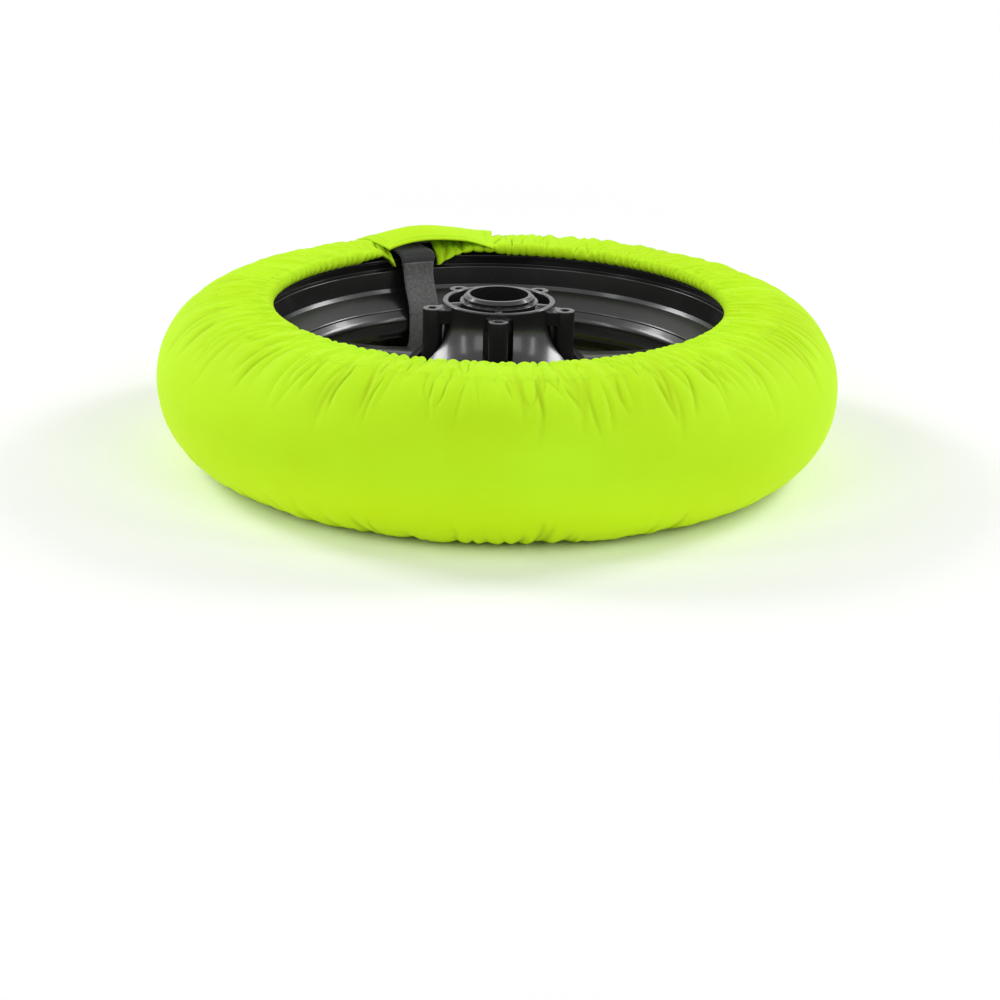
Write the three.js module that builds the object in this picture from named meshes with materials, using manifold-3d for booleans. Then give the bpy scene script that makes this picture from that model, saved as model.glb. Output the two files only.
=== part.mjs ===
// A motorcycle tire warmer, fitted on a front wheel that lies on its side.
//
// The warmer is a padded fabric sleeve. Its outer tread panel is backed by felt, a heating tape
// and a lining, and two side skirts reach in over the tyre's walls, with their hems gathered on
// elastic bands. Its two ends meet at the back under a smooth closure flap, and a strap runs
// down through the wheel from the upper edge to the lower one. The wheel is a five-spoke
// casting with a tyre and a valve.
//
// Millimetres, +Z up. The wheel's axis is Z, and the sleeve rests on z = 0.

import * as THREE from "three";
import { mergeVertices } from "three/addons/utils/BufferGeometryUtils.js";
import Module from "manifold-3d";

const wasm = await Module();
wasm.setup();

const DEGREE = Math.PI / 180;
const TURN = 360;

// The sleeve's round section
const SLEEVE_RADIUS = 312;
const SLEEVE_HEIGHT = 147;
const SECTION_DEPTH = 71.2; // from the widest point in to the crest, along the radius
const SECTION_POWER = 2.08; // roundness of the section: 2 is an ellipse
const SEAM_RADIUS = 260; // where the skirts are sewn to the tread panel
const HOLE_RADIUS = 207.6; // the gathered opening
const SECTION_STEPS = 3; // facets from the widest point to a seam
const FABRIC = 1.4;
const LAYER_GAP = 0.3;

// Gathers
const GATHERS = 54; // in the upper skirt and the tread panel
const LOWER_GATHERS = 27; // in the lower skirt
const GATHER_DEPTH = 3.6;
const SEAM_SHARE = 0.75; // how much of a gather's depth is left where it crosses the seam
const HEM_SHARE = 0.4; // and at the hem
const LOWER_SHARE = 0.5; // and on the lower half of the tread panel
const GATHER_WANDER = 0.4; // how far crests and valleys stray, as a share of a gather
const GATHER_LEAST = 0.45; // the shallowest gather, as a share of the deepest
const FOLD_END = 0.55; // where the shortest upper fold ends, as a share from tread to seam
const LOWER_FOLD_END = 0.5;
const REST_BAND = 18; // width of the flat band that the lower skirt rests on
const CUTTER_REACH = 4; // how far a cutter runs past the edge that it cuts, in degrees of sweep

// Padding behind the tread panel
const PANEL_BACKING = 4.2; // from the outer face to the smooth back of the tread panel
const FELT = 3.5;
const HEATER = 0.8;
const LINING = 1;
const PADDING_COLUMNS = 26;
const HEATER_LEG = 0.36; // width of one leg of the heating tape, as a share of a column

// Closure at the back
const CLOSURE_ANGLE = 113; // degrees from +X
const CLOSURE_GAP = 12; // between the two ends of the sleeve, in degrees
const FLAP_OVERLAP = 15; // how far the flap lies over the right-hand end, in degrees
const FLAP_SEAM = 2.5; // how far it is sewn over the left-hand end, in degrees
const FLAP_RISE = 11; // how high it bulges over the crest
const FLAP_LIP = 2; // how far it reaches in past the hem
const FLAP_LIP_DROP = 4.4; // how far the lip droops where the flap bulges most
const FLAP_SKEW = 1.4; // over 1 moves the bulge towards the sewn end
const FLAP_FULLNESS = 0.8; // under 1 makes the bulge flatter on top
const FLAP_COLUMNS = 10;
const TAPE = 1; // thickness of the hook and loop strips
const TAPE_MARGIN = 2; // degrees from the flap's edge to the strips
const TAPE_LENGTH = 9; // in degrees
const TAPE_COLUMNS = 4;
const END_DIP = 11; // how far the strap pulls the ends of the hems down
const END_DIP_REACH = 10; // degrees from each end

// Hems and elastic
const HEM_HEIGHT = 10;
const HEM_RETURN = 6.4; // how far the hem is folded back under itself
const HEM_NOSE = 1.9; // how far the hem's round nose steps in from its top and bottom edges
const ELASTIC_WIDTH = 3;
const ELASTIC = 1.4;

// Strap and its two tabs
const STRAP_WIDTH = 31;
const STRAP = 1.5;
const TAB_WIDTH = 36;
const TAB_DROP = 25; // how far a tab hangs down below the crest
const TAB_OVERLAP = 9; // how far the strap laps over a tab
const TAB_INSET = 1; // of a hanging tab from the hem's edge
const TAB_BEND = 3; // radius of a tab's bend over the tyre's wall
const TAB_SAG = 0.5; // how far a tab's free end leans in
const STRAP_LEAN = 4; // height below the tabs at which the strap starts to lean inwards
const STRAP_COLUMNS = 4;

// Cable gland and heat switch
const FITTING_SIDES = 12; // facets of the small round fittings
const GLAND_ANGLE = 142;
const GLAND_BORE = 3.5;
const GLAND_RADIUS = 6.5;
const GLAND_NOSE = 5;
const GLAND_FLANGE = 13;
const GLAND_FLANGE_DEPTH = 2.5;
const GLAND_BEVEL = 1;
const GLAND_LENGTH = 16;
const SWITCH_COLUMN = 4; // the padding column that the heat switch lies in
const SWITCH_RADIUS = 6;
const SWITCH_DEPTH = 1.9;

// Tyre
const TYRE_WALL = 7;
const BEAD_DEPTH = 12;
const WALL_SWELL = 1; // how far the side wall bulges past the shoulder's edge

// Rim
const RIM_RADIUS = 232.5; // over the flanges
const BEAD_RADIUS = 218.5;
const BEAD_SPACING = 89; // between the flanges
const BEAD_SEAT = 13.5;
const FLANGE = 13; // from the bead seat's end out to the flange's lip
const FLANGE_WALL = 5.5;
const FLANGE_BEVEL = 2;
const LIP_RADIUS = 216;
const RIM_WALL = 5;
const WELL_RADIUS = 190; // inner face of the well, where the spokes end
const WELL_WIDTH = 28;
const WELL_WALL = 6.5;
const WELL_SHOULDER = 12; // how far the well's wall rises over its next stretch
const RIM_SIDES = 36;

// Spokes
const SPOKES = 5;
const FIRST_SPOKE = 18; // degrees from +X
const SPOKE_ROOT = 58; // radius where a spoke starts, inside the hub
const SPOKE_WAIST = 140;
const SPOKE_WIDTH_ROOT = 50;
const SPOKE_WIDTH_WAIST = 27;
const SPOKE_WIDTH_RIM = 36;
const SPOKE_DEPTH_ROOT = 34;
const SPOKE_DEPTH_WAIST = 26;
const SPOKE_DEPTH_RIM = 28;
const SPOKE_CHAMFER = 5;
const SPOKE_HOLLOW = 0.9; // share of the even taper that is left halfway to the waist

// Hub
const HUB_HALF = 71.3; // from the wheel's middle plane to the outer rings
const COLLAR_RADIUS = 31.7;
const COLLAR_RISE = 5.6; // of the upper collar above its ring
const SEAT_RADIUS = 26.7; // bearing seats
const SEAT_DEPTH = 18;
const BARREL_BORE = 21;
const RING_RADIUS = 51.4;
const RING_WIDTH = 4.6;
const RING_DEPTH = 5;
const RING_BEVEL = 1.5; // height of the slope under a ring
const POCKET_DEPTH = 42;
const BELL_NECK_RADIUS = 50;
const BELL_FOOT_RADIUS = 80;
const BELL_FOOT_HALF = 16;
const BELL_STEPS = 3;
const LUG_CIRCLE = 63;
const LUG_STEP = 3.6; // of the disc faces below the rings
const LUG_RADIUS = 9;
const LUG_SIDES = 10;
const LUG_HOLE = 4.2;
const LUG_HOLE_SIDES = 6;
const LUG_HOLE_DEPTH = 22;
const LUG_WEB = 8;
const WEB_STEP = 2; // of a web below the faces that it joins
const CHANNEL_WIDTH = 27;
const CHANNEL_RADIUS = 49;
const HUB_SIDES = 25;

// Valve
const VALVE_ANGLE = 270;
const VALVE_HOLE = 5.7;
const VALVE_HEAD = 8;
const VALVE_HEAD_DEPTH = 3;
const VALVE_STEM = 3.9;
const VALVE_LENGTH = 36;
const VALVE_COLLAR = 7.1; // the stem's collar on the well's inner face
const VALVE_COLLAR_DEPTH = 3;
const VALVE_TAPER = 5; // length over which the stem narrows from its collar
const VALVE_NECK = 4.5;
const VALVE_CAP = 5;
const VALVE_CAP_LENGTH = 10;
const VALVE_CAP_BORE = 2.9;
const VALVE_CAP_ROOF = 2;
const VALVE_CAP_BEVEL = 0.9;

const middle = SLEEVE_HEIGHT / 2;
const crestRadius = SLEEVE_RADIUS - SECTION_DEPTH;

// Solids and meshes

function solidOf(geometry) {
  const bare = geometry.clone();
  bare.deleteAttribute("normal");
  bare.deleteAttribute("uv");
  const merged = mergeVertices(bare, 1e-4);
  return new wasm.Manifold(
    new wasm.Mesh({
      numProp: 3,
      vertProperties: new Float32Array(merged.attributes.position.array),
      triVerts: new Uint32Array(merged.index.array),
    }),
  );
}

function geometryOf(solid) {
  const mesh = solid.getMesh();
  const geometry = new THREE.BufferGeometry();
  geometry.setAttribute("position", new THREE.BufferAttribute(mesh.vertProperties, 3));
  geometry.setIndex(new THREE.BufferAttribute(mesh.triVerts, 1));
  return geometry;
}

function cylinder(radius, low, high, sides) {
  return new THREE.CylinderGeometry(radius, radius, high - low, sides)
    .rotateX(Math.PI / 2)
    .translate(0, 0, (low + high) / 2);
}

function box(low, high) {
  const size = high.map((value, i) => value - low[i]);
  const centre = high.map((value, i) => (value + low[i]) / 2);
  return new THREE.BoxGeometry(...size).translate(...centre);
}

// Turns a closed [radius, height] profile, drawn anticlockwise, round the Z axis.
function turned(profile, sides) {
  const points = [...profile, profile[0]].map(([r, z]) => new THREE.Vector2(r, z));
  return new THREE.LatheGeometry(points, sides).rotateX(Math.PI / 2);
}

// Skins a row of outlines of equal length. With a flat section to triangulate, both ends are
// capped, and without one the last outline joins the first.
function skinned(outlines, section) {
  const count = outlines[0].length;
  const index = [];
  const spans = section ? outlines.length - 1 : outlines.length;
  for (let i = 0; i < spans; i++) {
    const near = i * count;
    const far = ((i + 1) % outlines.length) * count;
    for (let j = 0; j < count; j++) {
      const next = (j + 1) % count;
      index.push(near + j, far + j, far + next);
      index.push(near + j, far + next, near + next);
    }
  }
  if (section) {
    const flat = section.map(([u, v]) => new THREE.Vector2(u, v));
    const last = spans * count;
    for (const [a, b, c] of THREE.ShapeUtils.triangulateShape(flat, [])) {
      index.push(a, b, c);
      index.push(last + a, last + c, last + b);
    }
  }
  const geometry = new THREE.BufferGeometry();
  geometry.setAttribute("position", new THREE.Float32BufferAttribute(outlines.flat(2), 3));
  geometry.setIndex(index);
  return geometry;
}

// Sweeps a [radius, height] section, drawn anticlockwise, round the axis through a list of
// columns. sectionAt(column) gives the section there, always with the same number of points.
function swept(columns, sectionAt, closed = false) {
  const sections = columns.map(sectionAt);
  const outlines = sections.map((section, i) => {
    const cosine = Math.cos(columns[i].angle);
    const sine = Math.sin(columns[i].angle);
    return section.map(([r, z]) => [r * cosine, r * sine, z]);
  });
  return skinned(outlines, closed ? null : sections[0]);
}

// Evenly spaced columns between two angles in degrees.
function columnsBetween(start, end, count) {
  const columns = [];
  for (let i = 0; i <= count; i++) {
    columns.push({ angle: (start + ((end - start) * i) / count) * DEGREE });
  }
  return columns;
}

// A vertex radius whose chords stay outside a given radius, with the layer gap to spare.
function clearRadius(radius, chordDegrees) {
  return (radius + LAYER_GAP) / Math.cos((chordDegrees / 2) * DEGREE);
}

// Turns a piece made along +Z so that it points away from the axis at an angle.
function pointedOut(geometry, degrees) {
  return geometry.rotateY(Math.PI / 2).rotateZ(degrees * DEGREE);
}

// The sleeve's section

// A point on the section, set in from the outer face. Sweep is 0 degrees at the widest point
// and 90 at the upper crest.
function sectionPoint(sweep, inset) {
  const cosine = Math.cos(sweep * DEGREE);
  const sine = Math.sin(sweep * DEGREE);
  const power = 2 / SECTION_POWER;
  return [
    crestRadius + (SECTION_DEPTH - inset) * Math.sign(cosine) * Math.abs(cosine) ** power,
    middle + (middle - inset) * Math.sign(sine) * Math.abs(sine) ** power,
  ];
}

const seamShare = (SEAM_RADIUS - crestRadius) / SECTION_DEPTH;
const seamSweep = Math.acos(seamShare ** (SECTION_POWER / 2)) / DEGREE;
const halfSeam = LAYER_GAP / SLEEVE_HEIGHT / DEGREE; // half the seam's gap, as a sweep
const panelEdge = seamSweep - halfSeam;
const skirtEdge = seamSweep + halfSeam;

const panelSweeps = [];
for (let i = -SECTION_STEPS; i <= SECTION_STEPS; i++) {
  panelSweeps.push((i / SECTION_STEPS) * panelEdge);
}

// A band of the section between two insets.
function bandSection(sweeps, outerInset, innerInset) {
  const outer = sweeps.map((sweep) => sectionPoint(sweep, outerInset));
  const inner = sweeps.map((sweep) => sectionPoint(sweep, innerInset));
  return [...outer, ...inner.reverse()];
}

// Gathers

// A repeatable number from 0 to 1, so that no two gathers are alike.
function irregular(number, salt) {
  const wave = Math.sin(number * 12.9898 + salt * 78.233) * 43758.5453;
  return wave - Math.floor(wave);
}

const leftEnd = CLOSURE_ANGLE + CLOSURE_GAP / 2;
const rightEnd = CLOSURE_ANGLE - CLOSURE_GAP / 2 + TURN;

// Each gather is a crest and a valley. Both ends of the sleeve are crests.
function gatherColumns(count) {
  const pitch = (rightEnd - leftEnd) / count;
  const columns = [];
  for (let i = 0; i < count; i++) {
    const start = leftEnd + i * pitch;
    const crestShift = i === 0 ? 0 : (irregular(i, 1) - 0.5) * GATHER_WANDER;
    const valleyShift = (irregular(i, 2) - 0.5) * GATHER_WANDER;
    const depth = GATHER_LEAST + (1 - GATHER_LEAST) * irregular(i, 3);
    const reach = irregular(i, 4);
    columns.push({ angle: (start + crestShift * pitch) * DEGREE, depth: 0, reach });
    columns.push({ angle: (start + (0.5 + valleyShift) * pitch) * DEGREE, depth, reach });
  }
  columns.push({ angle: rightEnd * DEGREE, depth: 0, reach: 0 });
  return columns;
}

const gathered = gatherColumns(GATHERS);
const lowerGathered = gatherColumns(LOWER_GATHERS);

// How deep a gather is on the tread panel. It is deepest at the seams and dies out on the
// tread, and the folds that reach furthest down are those of the upper half.
function panelGather(step, depth, reach) {
  const fromMiddle = Math.abs(step) / SECTION_STEPS;
  const start = step > 0 ? FOLD_END * (1 - reach) : LOWER_FOLD_END;
  const side = step > 0 ? 1 : LOWER_SHARE;
  const share = Math.max(0, (fromMiddle - start) / (1 - start));
  return GATHER_DEPTH * SEAM_SHARE * side * depth * share;
}

// The sleeve's fabric

const paddingStart = CLOSURE_ANGLE + 0.5;
const paddingPitch = (TURN - 1) / PADDING_COLUMNS;
const paddingColumns = columnsBetween(paddingStart, paddingStart + TURN - 1, PADDING_COLUMNS);

// The panel is gathered outside and has a smooth back, which the padding lies against.
function treadPanel() {
  const deep = PANEL_BACKING * 3; // the body is made too thick and then hollowed
  const body = swept(gathered, ({ depth, reach }) => [
    ...panelSweeps.map((sweep, i) => {
      return sectionPoint(sweep, panelGather(i - SECTION_STEPS, depth, reach));
    }),
    sectionPoint(panelEdge, deep),
    sectionPoint(-panelEdge, deep),
  ]);
  const cutterSweeps = [-panelEdge - CUTTER_REACH, ...panelSweeps, panelEdge + CUTTER_REACH];
  const cutter = swept(paddingColumns, () => [
    ...cutterSweeps.map((sweep) => sectionPoint(sweep, PANEL_BACKING)),
    sectionPoint(panelEdge + CUTTER_REACH, deep * 2),
    sectionPoint(-panelEdge - CUTTER_REACH, deep * 2),
  ]);
  const hole = pointedOut(
    cylinder(GLAND_RADIUS + LAYER_GAP, crestRadius, SLEEVE_RADIUS * 2, FITTING_SIDES),
    GLAND_ANGLE,
  ).translate(0, 0, middle);
  return geometryOf(solidOf(body).subtract(solidOf(cutter)).subtract(solidOf(hole)));
}

// How far the strap pulls a hem down at an angle.
function endDip(angle) {
  const degrees = angle / DEGREE;
  const fromEnd = Math.min(degrees - leftEnd, rightEnd - degrees);
  return END_DIP * Math.max(0, 1 - fromEnd / END_DIP_REACH) ** 2;
}

// The smooth inside of a hem, and its columns: coarse all round, and fine where the hem dips.
const hemStart = leftEnd + END_DIP_REACH;
const hemEnd = rightEnd - END_DIP_REACH;
const hemColumns = columnsBetween(hemStart, hemEnd, PADDING_COLUMNS);
const hemPinch = GATHER_DEPTH * HEM_SHARE;
const hemInside = clearRadius(
  HOLE_RADIUS + HEM_NOSE / 2 + hemPinch + FABRIC - LAYER_GAP,
  (hemEnd - hemStart) / PADDING_COLUMNS,
);

function undersideColumns() {
  const steps = 4;
  const fine = END_DIP_REACH / steps;
  return [
    ...columnsBetween(leftEnd - fine, hemStart - fine, steps),
    ...hemColumns,
    ...columnsBetween(hemEnd + fine, rightEnd + fine, steps),
  ];
}

// One skirt runs from the seam over the crest to the hem, which is folded back round the
// elastic. Drops are measured from the crest, so the lower skirt is the upper one mirrored,
// with a flat band to rest on.
function skirt(upper) {
  const restBand = upper ? 0 : REST_BAND / 2;
  const deep = HEM_HEIGHT * 1.5; // the body is made too thick and then hollowed
  const nose = HOLE_RADIUS + HEM_NOSE / 2;
  const returnRadius = HOLE_RADIUS + HEM_RETURN;
  const place = ([r, drop]) => [r, upper ? SLEEVE_HEIGHT - drop : drop];
  const atSeam = (sweep, inset) => {
    const [r, z] = sectionPoint(sweep, inset);
    return [r, SLEEVE_HEIGHT - z];
  };
  const drawn = (section) => (upper ? section.map(place) : section.map(place).reverse());
  const crest = (drop, spread) => {
    if (spread === 0) return [[crestRadius, drop]];
    return [
      [crestRadius + spread, drop],
      [crestRadius - spread, drop],
    ];
  };
  const body = swept(upper ? gathered : lowerGathered, ({ angle, depth }) => {
    const valley = GATHER_DEPTH * depth;
    const pinch = valley * HEM_SHARE;
    const dip = endDip(angle);
    return drawn([
      atSeam(skirtEdge, valley * SEAM_SHARE),
      ...crest(upper ? valley : 0, restBand),
      [nose + pinch, HEM_NOSE + pinch + dip],
      [nose + pinch / 2, HEM_HEIGHT - HEM_NOSE + dip],
      [returnRadius, HEM_HEIGHT + dip],
      atSeam(skirtEdge, deep),
    ]);
  });
  const cutter = swept(undersideColumns(), ({ angle }) => {
    const dip = endDip(angle);
    return drawn([
      [returnRadius, deep * 2 + HEM_HEIGHT + dip],
      atSeam(skirtEdge - CUTTER_REACH, deep * 2),
      atSeam(skirtEdge - CUTTER_REACH, GATHER_DEPTH * SEAM_SHARE + FABRIC),
      atSeam(skirtEdge, GATHER_DEPTH * SEAM_SHARE + FABRIC),
      ...crest((upper ? GATHER_DEPTH : 0) + FABRIC, restBand),
      [hemInside, HEM_NOSE + hemPinch + FABRIC + dip],
      [hemInside, HEM_HEIGHT - FABRIC + dip],
      [returnRadius, HEM_HEIGHT - FABRIC + dip],
    ]);
  });
  return geometryOf(solidOf(body).subtract(solidOf(cutter)));
}

// A flat band that lies in the fold of a hem and stops where the hem dips.
function elastic(upper) {
  const inner = hemInside + LAYER_GAP;
  const floor = HEM_HEIGHT - FABRIC - LAYER_GAP;
  const section = [
    [inner, floor],
    [inner + ELASTIC, floor],
    [inner + ELASTIC, floor - ELASTIC_WIDTH],
    [inner, floor - ELASTIC_WIDTH],
  ].map(([r, drop]) => [r, upper ? SLEEVE_HEIGHT - drop : drop]);
  if (!upper) section.reverse();
  return swept(hemColumns, () => section);
}

// Padding

const feltOuter = PANEL_BACKING + LAYER_GAP;
const feltInner = feltOuter + FELT;
const heaterOuter = feltInner + LAYER_GAP;
const heaterInner = heaterOuter + HEATER;
const liningOuter = heaterInner + LAYER_GAP;
const liningInner = liningOuter + LINING;
const tyreInset = liningInner + LAYER_GAP;

function paddingLayer(outerInset, innerInset) {
  return swept(paddingColumns, () => bandSection(panelSweeps, outerInset, innerInset));
}

// The middle of the facet that the heat switch lies on, and the way that the facet faces.
const switchAngle = paddingStart + (SWITCH_COLUMN + 0.5) * paddingPitch;
const facetShare = Math.cos((paddingPitch / 2) * DEGREE);

// The felt has a hole for the heat switch and one for the cable gland's barrel.
function insulationFelt() {
  const reach = (radius) => cylinder(radius, crestRadius, SLEEVE_RADIUS * 2, FITTING_SIDES);
  const switchHole = pointedOut(reach(SWITCH_RADIUS + LAYER_GAP), switchAngle);
  const glandHole = pointedOut(reach(GLAND_RADIUS + LAYER_GAP), GLAND_ANGLE);
  return geometryOf(
    solidOf(paddingLayer(feltOuter, feltInner))
      .subtract(solidOf(switchHole.translate(0, 0, middle)))
      .subtract(solidOf(glandHole.translate(0, 0, middle))),
  );
}

// A small disc in the felt's hole, lying on the widest row of the heating tape.
function heatSwitch() {
  const back = (SLEEVE_RADIUS - heaterOuter + LAYER_GAP) * facetShare;
  const disc = cylinder(SWITCH_RADIUS, back, back + SWITCH_DEPTH, FITTING_SIDES);
  return pointedOut(disc, switchAngle).translate(0, 0, middle);
}

// The heating tape runs up and down across the tread, from one end of the padding to the other.
// Its legs lie on the facets of the felt, and its links follow the corners between them.
function heatingTape() {
  const sweeps = panelSweeps.slice(2, -2);
  const rows = sweeps.length;
  const margin = (1 - HEATER_LEG) / 2;
  const places = [];
  for (let leg = 0; leg < PADDING_COLUMNS; leg++) {
    if (leg > 0) places.push(leg);
    places.push(leg + margin, leg + 1 - margin);
  }
  const spans = places.length - 1;
  const filled = (span, cell) => {
    if (span < 0 || span >= spans || cell < 0 || cell >= rows - 1) return false;
    if (span % 3 === 0) return true;
    return cell === (Math.floor(span / 3) % 2 === 0 ? rows - 2 : 0);
  };
  const positions = [];
  for (const place of places) {
    const column = Math.min(Math.floor(place), PADDING_COLUMNS - 1);
    const share = place - column;
    const near = (paddingStart + column * paddingPitch) * DEGREE;
    const far = near + paddingPitch * DEGREE;
    const across = Math.cos(near) * (1 - share) + Math.cos(far) * share;
    const along = Math.sin(near) * (1 - share) + Math.sin(far) * share;
    for (const sweep of sweeps) {
      for (const inset of [heaterOuter, heaterInner]) {
        const [r, z] = sectionPoint(sweep, inset);
        positions.push(r * across, r * along, z);
      }
    }
  }
  const vertex = ([span, row], side) => (span * rows + row) * 2 + side;
  const index = [];
  const face = (a, b, c, d) => index.push(a, b, c, a, c, d);
  for (let span = 0; span < spans; span++) {
    for (let cell = 0; cell < rows - 1; cell++) {
      if (!filled(span, cell)) continue;
      const corners = [
        [span, cell],
        [span + 1, cell],
        [span + 1, cell + 1],
        [span, cell + 1],
      ];
      const covered = [
        filled(span, cell - 1),
        filled(span + 1, cell),
        filled(span, cell + 1),
        filled(span - 1, cell),
      ];
      face(...corners.map((corner) => vertex(corner, 0)));
      face(...corners.map((corner) => vertex(corner, 1)).reverse());
      for (let side = 0; side < corners.length; side++) {
        if (covered[side]) continue;
        const from = corners[side];
        const to = corners[(side + 1) % corners.length];
        face(vertex(from, 0), vertex(from, 1), vertex(to, 1), vertex(to, 0));
      }
    }
  }
  const geometry = new THREE.BufferGeometry();
  geometry.setAttribute("position", new THREE.Float32BufferAttribute(positions, 3));
  geometry.setIndex(index);
  // The solid drops the corners that no leg or link uses.
  return geometryOf(solidOf(geometry));
}

// Closure

const flapStart = rightEnd - TURN - FLAP_OVERLAP;
const flapEnd = leftEnd + FLAP_SEAM;
const tapeLift = TAPE * 2 + LAYER_GAP * 3;
const flapSweeps = [...panelSweeps.slice(1), 90];
const tapeSweeps = panelSweeps.slice(1, -1);

// The flap lies on the strips at its free edge and on the fabric where it is sewn.
function flapLift(degrees) {
  const share = (degrees - (rightEnd - TURN)) / CLOSURE_GAP;
  return tapeLift + (LAYER_GAP - tapeLift) * Math.min(1, Math.max(0, share));
}

// The flap's outer or inner face. It bulges over the crest, most of all near the sewn end.
function flapFace(degrees, offset) {
  const share = (degrees - flapStart) / (flapEnd - flapStart);
  const bulge = Math.sin(Math.PI * share ** FLAP_SKEW) ** FLAP_FULLNESS;
  const top = tapeSweeps.at(-1);
  const lift = flapLift(degrees);
  const face = flapSweeps.map((sweep) => {
    const upward = Math.max(0, (sweep - top) / (90 - top)) ** 2;
    return sectionPoint(sweep, -(lift + (FLAP_RISE - lift) * bulge * upward + offset));
  });
  face.push([HOLE_RADIUS - FLAP_LIP, face.at(-1)[1] - FLAP_LIP_DROP * bulge]);
  return face;
}

function closureFlap() {
  return swept(columnsBetween(flapStart, flapEnd, FLAP_COLUMNS), ({ angle }) => [
    ...flapFace(angle / DEGREE, FABRIC),
    ...flapFace(angle / DEGREE, 0).reverse(),
  ]);
}

function tapeStrip(lift) {
  const start = flapStart + TAPE_MARGIN;
  return swept(columnsBetween(start, start + TAPE_LENGTH, TAPE_COLUMNS), () =>
    bandSection(tapeSweeps, -lift - TAPE, -lift),
  );
}

// Strap

// A strip of webbing of even width, wrapped round the axis at the closure. Its section is a
// [radius, height] path with the webbing's thickness laid on the side towards the axis.
function webbing(path, width) {
  const inner = path.map(([r, z], i) => {
    const [r0, z0] = path[Math.max(0, i - 1)];
    const [r1, z1] = path[Math.min(path.length - 1, i + 1)];
    const length = Math.hypot(r1 - r0, z1 - z0);
    return [r - ((z1 - z0) / length) * STRAP, z + ((r1 - r0) / length) * STRAP];
  });
  const section = [...path, ...inner.reverse()];
  const outlines = [];
  for (let i = 0; i <= STRAP_COLUMNS; i++) {
    const side = (i / STRAP_COLUMNS - 0.5) * width;
    outlines.push(section.map(([r, z]) => [Math.sqrt(r * r - side * side), side, z]));
  }
  return skinned(outlines, section).rotateZ(CLOSURE_ANGLE * DEGREE);
}

// Turns the faces of a mirrored geometry the right way out again.
function flipped(geometry) {
  const order = Array.from(geometry.index.array);
  for (let i = 0; i < order.length; i += 3) {
    [order[i + 1], order[i + 2]] = [order[i + 2], order[i + 1]];
  }
  return geometry.setIndex(order);
}

const tabRadius = HOLE_RADIUS - TAB_INSET;
const tabEnd = middle - TAB_DROP;

// A tab is sewn to the lining's edge, lies over the tyre's wall and hangs into the opening.
// Heights are from the sleeve's middle, and the lower tab is the upper one mirrored.
function strapTab(upper) {
  const [edgeRadius, edgeHeight] = sectionPoint(panelEdge, (liningOuter + liningInner) / 2);
  const height = edgeHeight - middle;
  const halfTab = Math.asin(TAB_WIDTH / 2 / edgeRadius) / DEGREE;
  const fromFacetMiddle = CLOSURE_ANGLE + halfTab - paddingStart - paddingPitch / 2;
  const seat = (edgeRadius * facetShare) / Math.cos(fromFacetMiddle * DEGREE) - LAYER_GAP;
  const path = [
    [tabRadius - TAB_SAG, tabEnd],
    [tabRadius, height + STRAP - TAB_BEND],
    [tabRadius + TAB_BEND, height + STRAP],
    [tabRadius + TAB_BEND * 4, height + STRAP * 2],
    [seat, height + STRAP / 2],
  ];
  const geometry = webbing(path, TAB_WIDTH);
  return upper ? geometry : flipped(geometry.scale(1, 1, -1));
}

// The strap joins the tabs and is pressed in against the rim's well between them.
function strap() {
  const outer = tabRadius - TAB_SAG - STRAP - LAYER_GAP;
  const wellFace = WELL_RADIUS * Math.cos((TURN / RIM_SIDES / 2) * DEGREE) - LAYER_GAP;
  const upperHalf = [
    [wellFace, WELL_WIDTH / 2 + STRAP * 2],
    [outer, tabEnd - STRAP_LEAN],
    [outer, tabEnd + TAB_OVERLAP],
  ];
  const lowerHalf = upperHalf.map(([r, z]) => [r, -z]).reverse();
  return webbing([...lowerHalf, ...upperHalf], STRAP_WIDTH);
}

// Fittings on the sleeve

// The gland's flange lies on the outer face, and its barrel reaches the heating tape.
function cableGland() {
  const inner = SLEEVE_RADIUS - heaterOuter + LAYER_GAP;
  const face = SLEEVE_RADIUS + LAYER_GAP;
  const end = face + GLAND_FLANGE_DEPTH + GLAND_LENGTH;
  const profile = [
    [GLAND_BORE, inner],
    [GLAND_RADIUS, inner],
    [GLAND_RADIUS, face],
    [GLAND_FLANGE, face],
    [GLAND_FLANGE, face + GLAND_FLANGE_DEPTH - GLAND_BEVEL],
    [GLAND_RADIUS + GLAND_BEVEL, face + GLAND_FLANGE_DEPTH],
    [GLAND_NOSE, end],
    [GLAND_BORE, end],
  ];
  return pointedOut(turned(profile, FITTING_SIDES), GLAND_ANGLE).translate(0, 0, middle);
}

// Tyre

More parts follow.
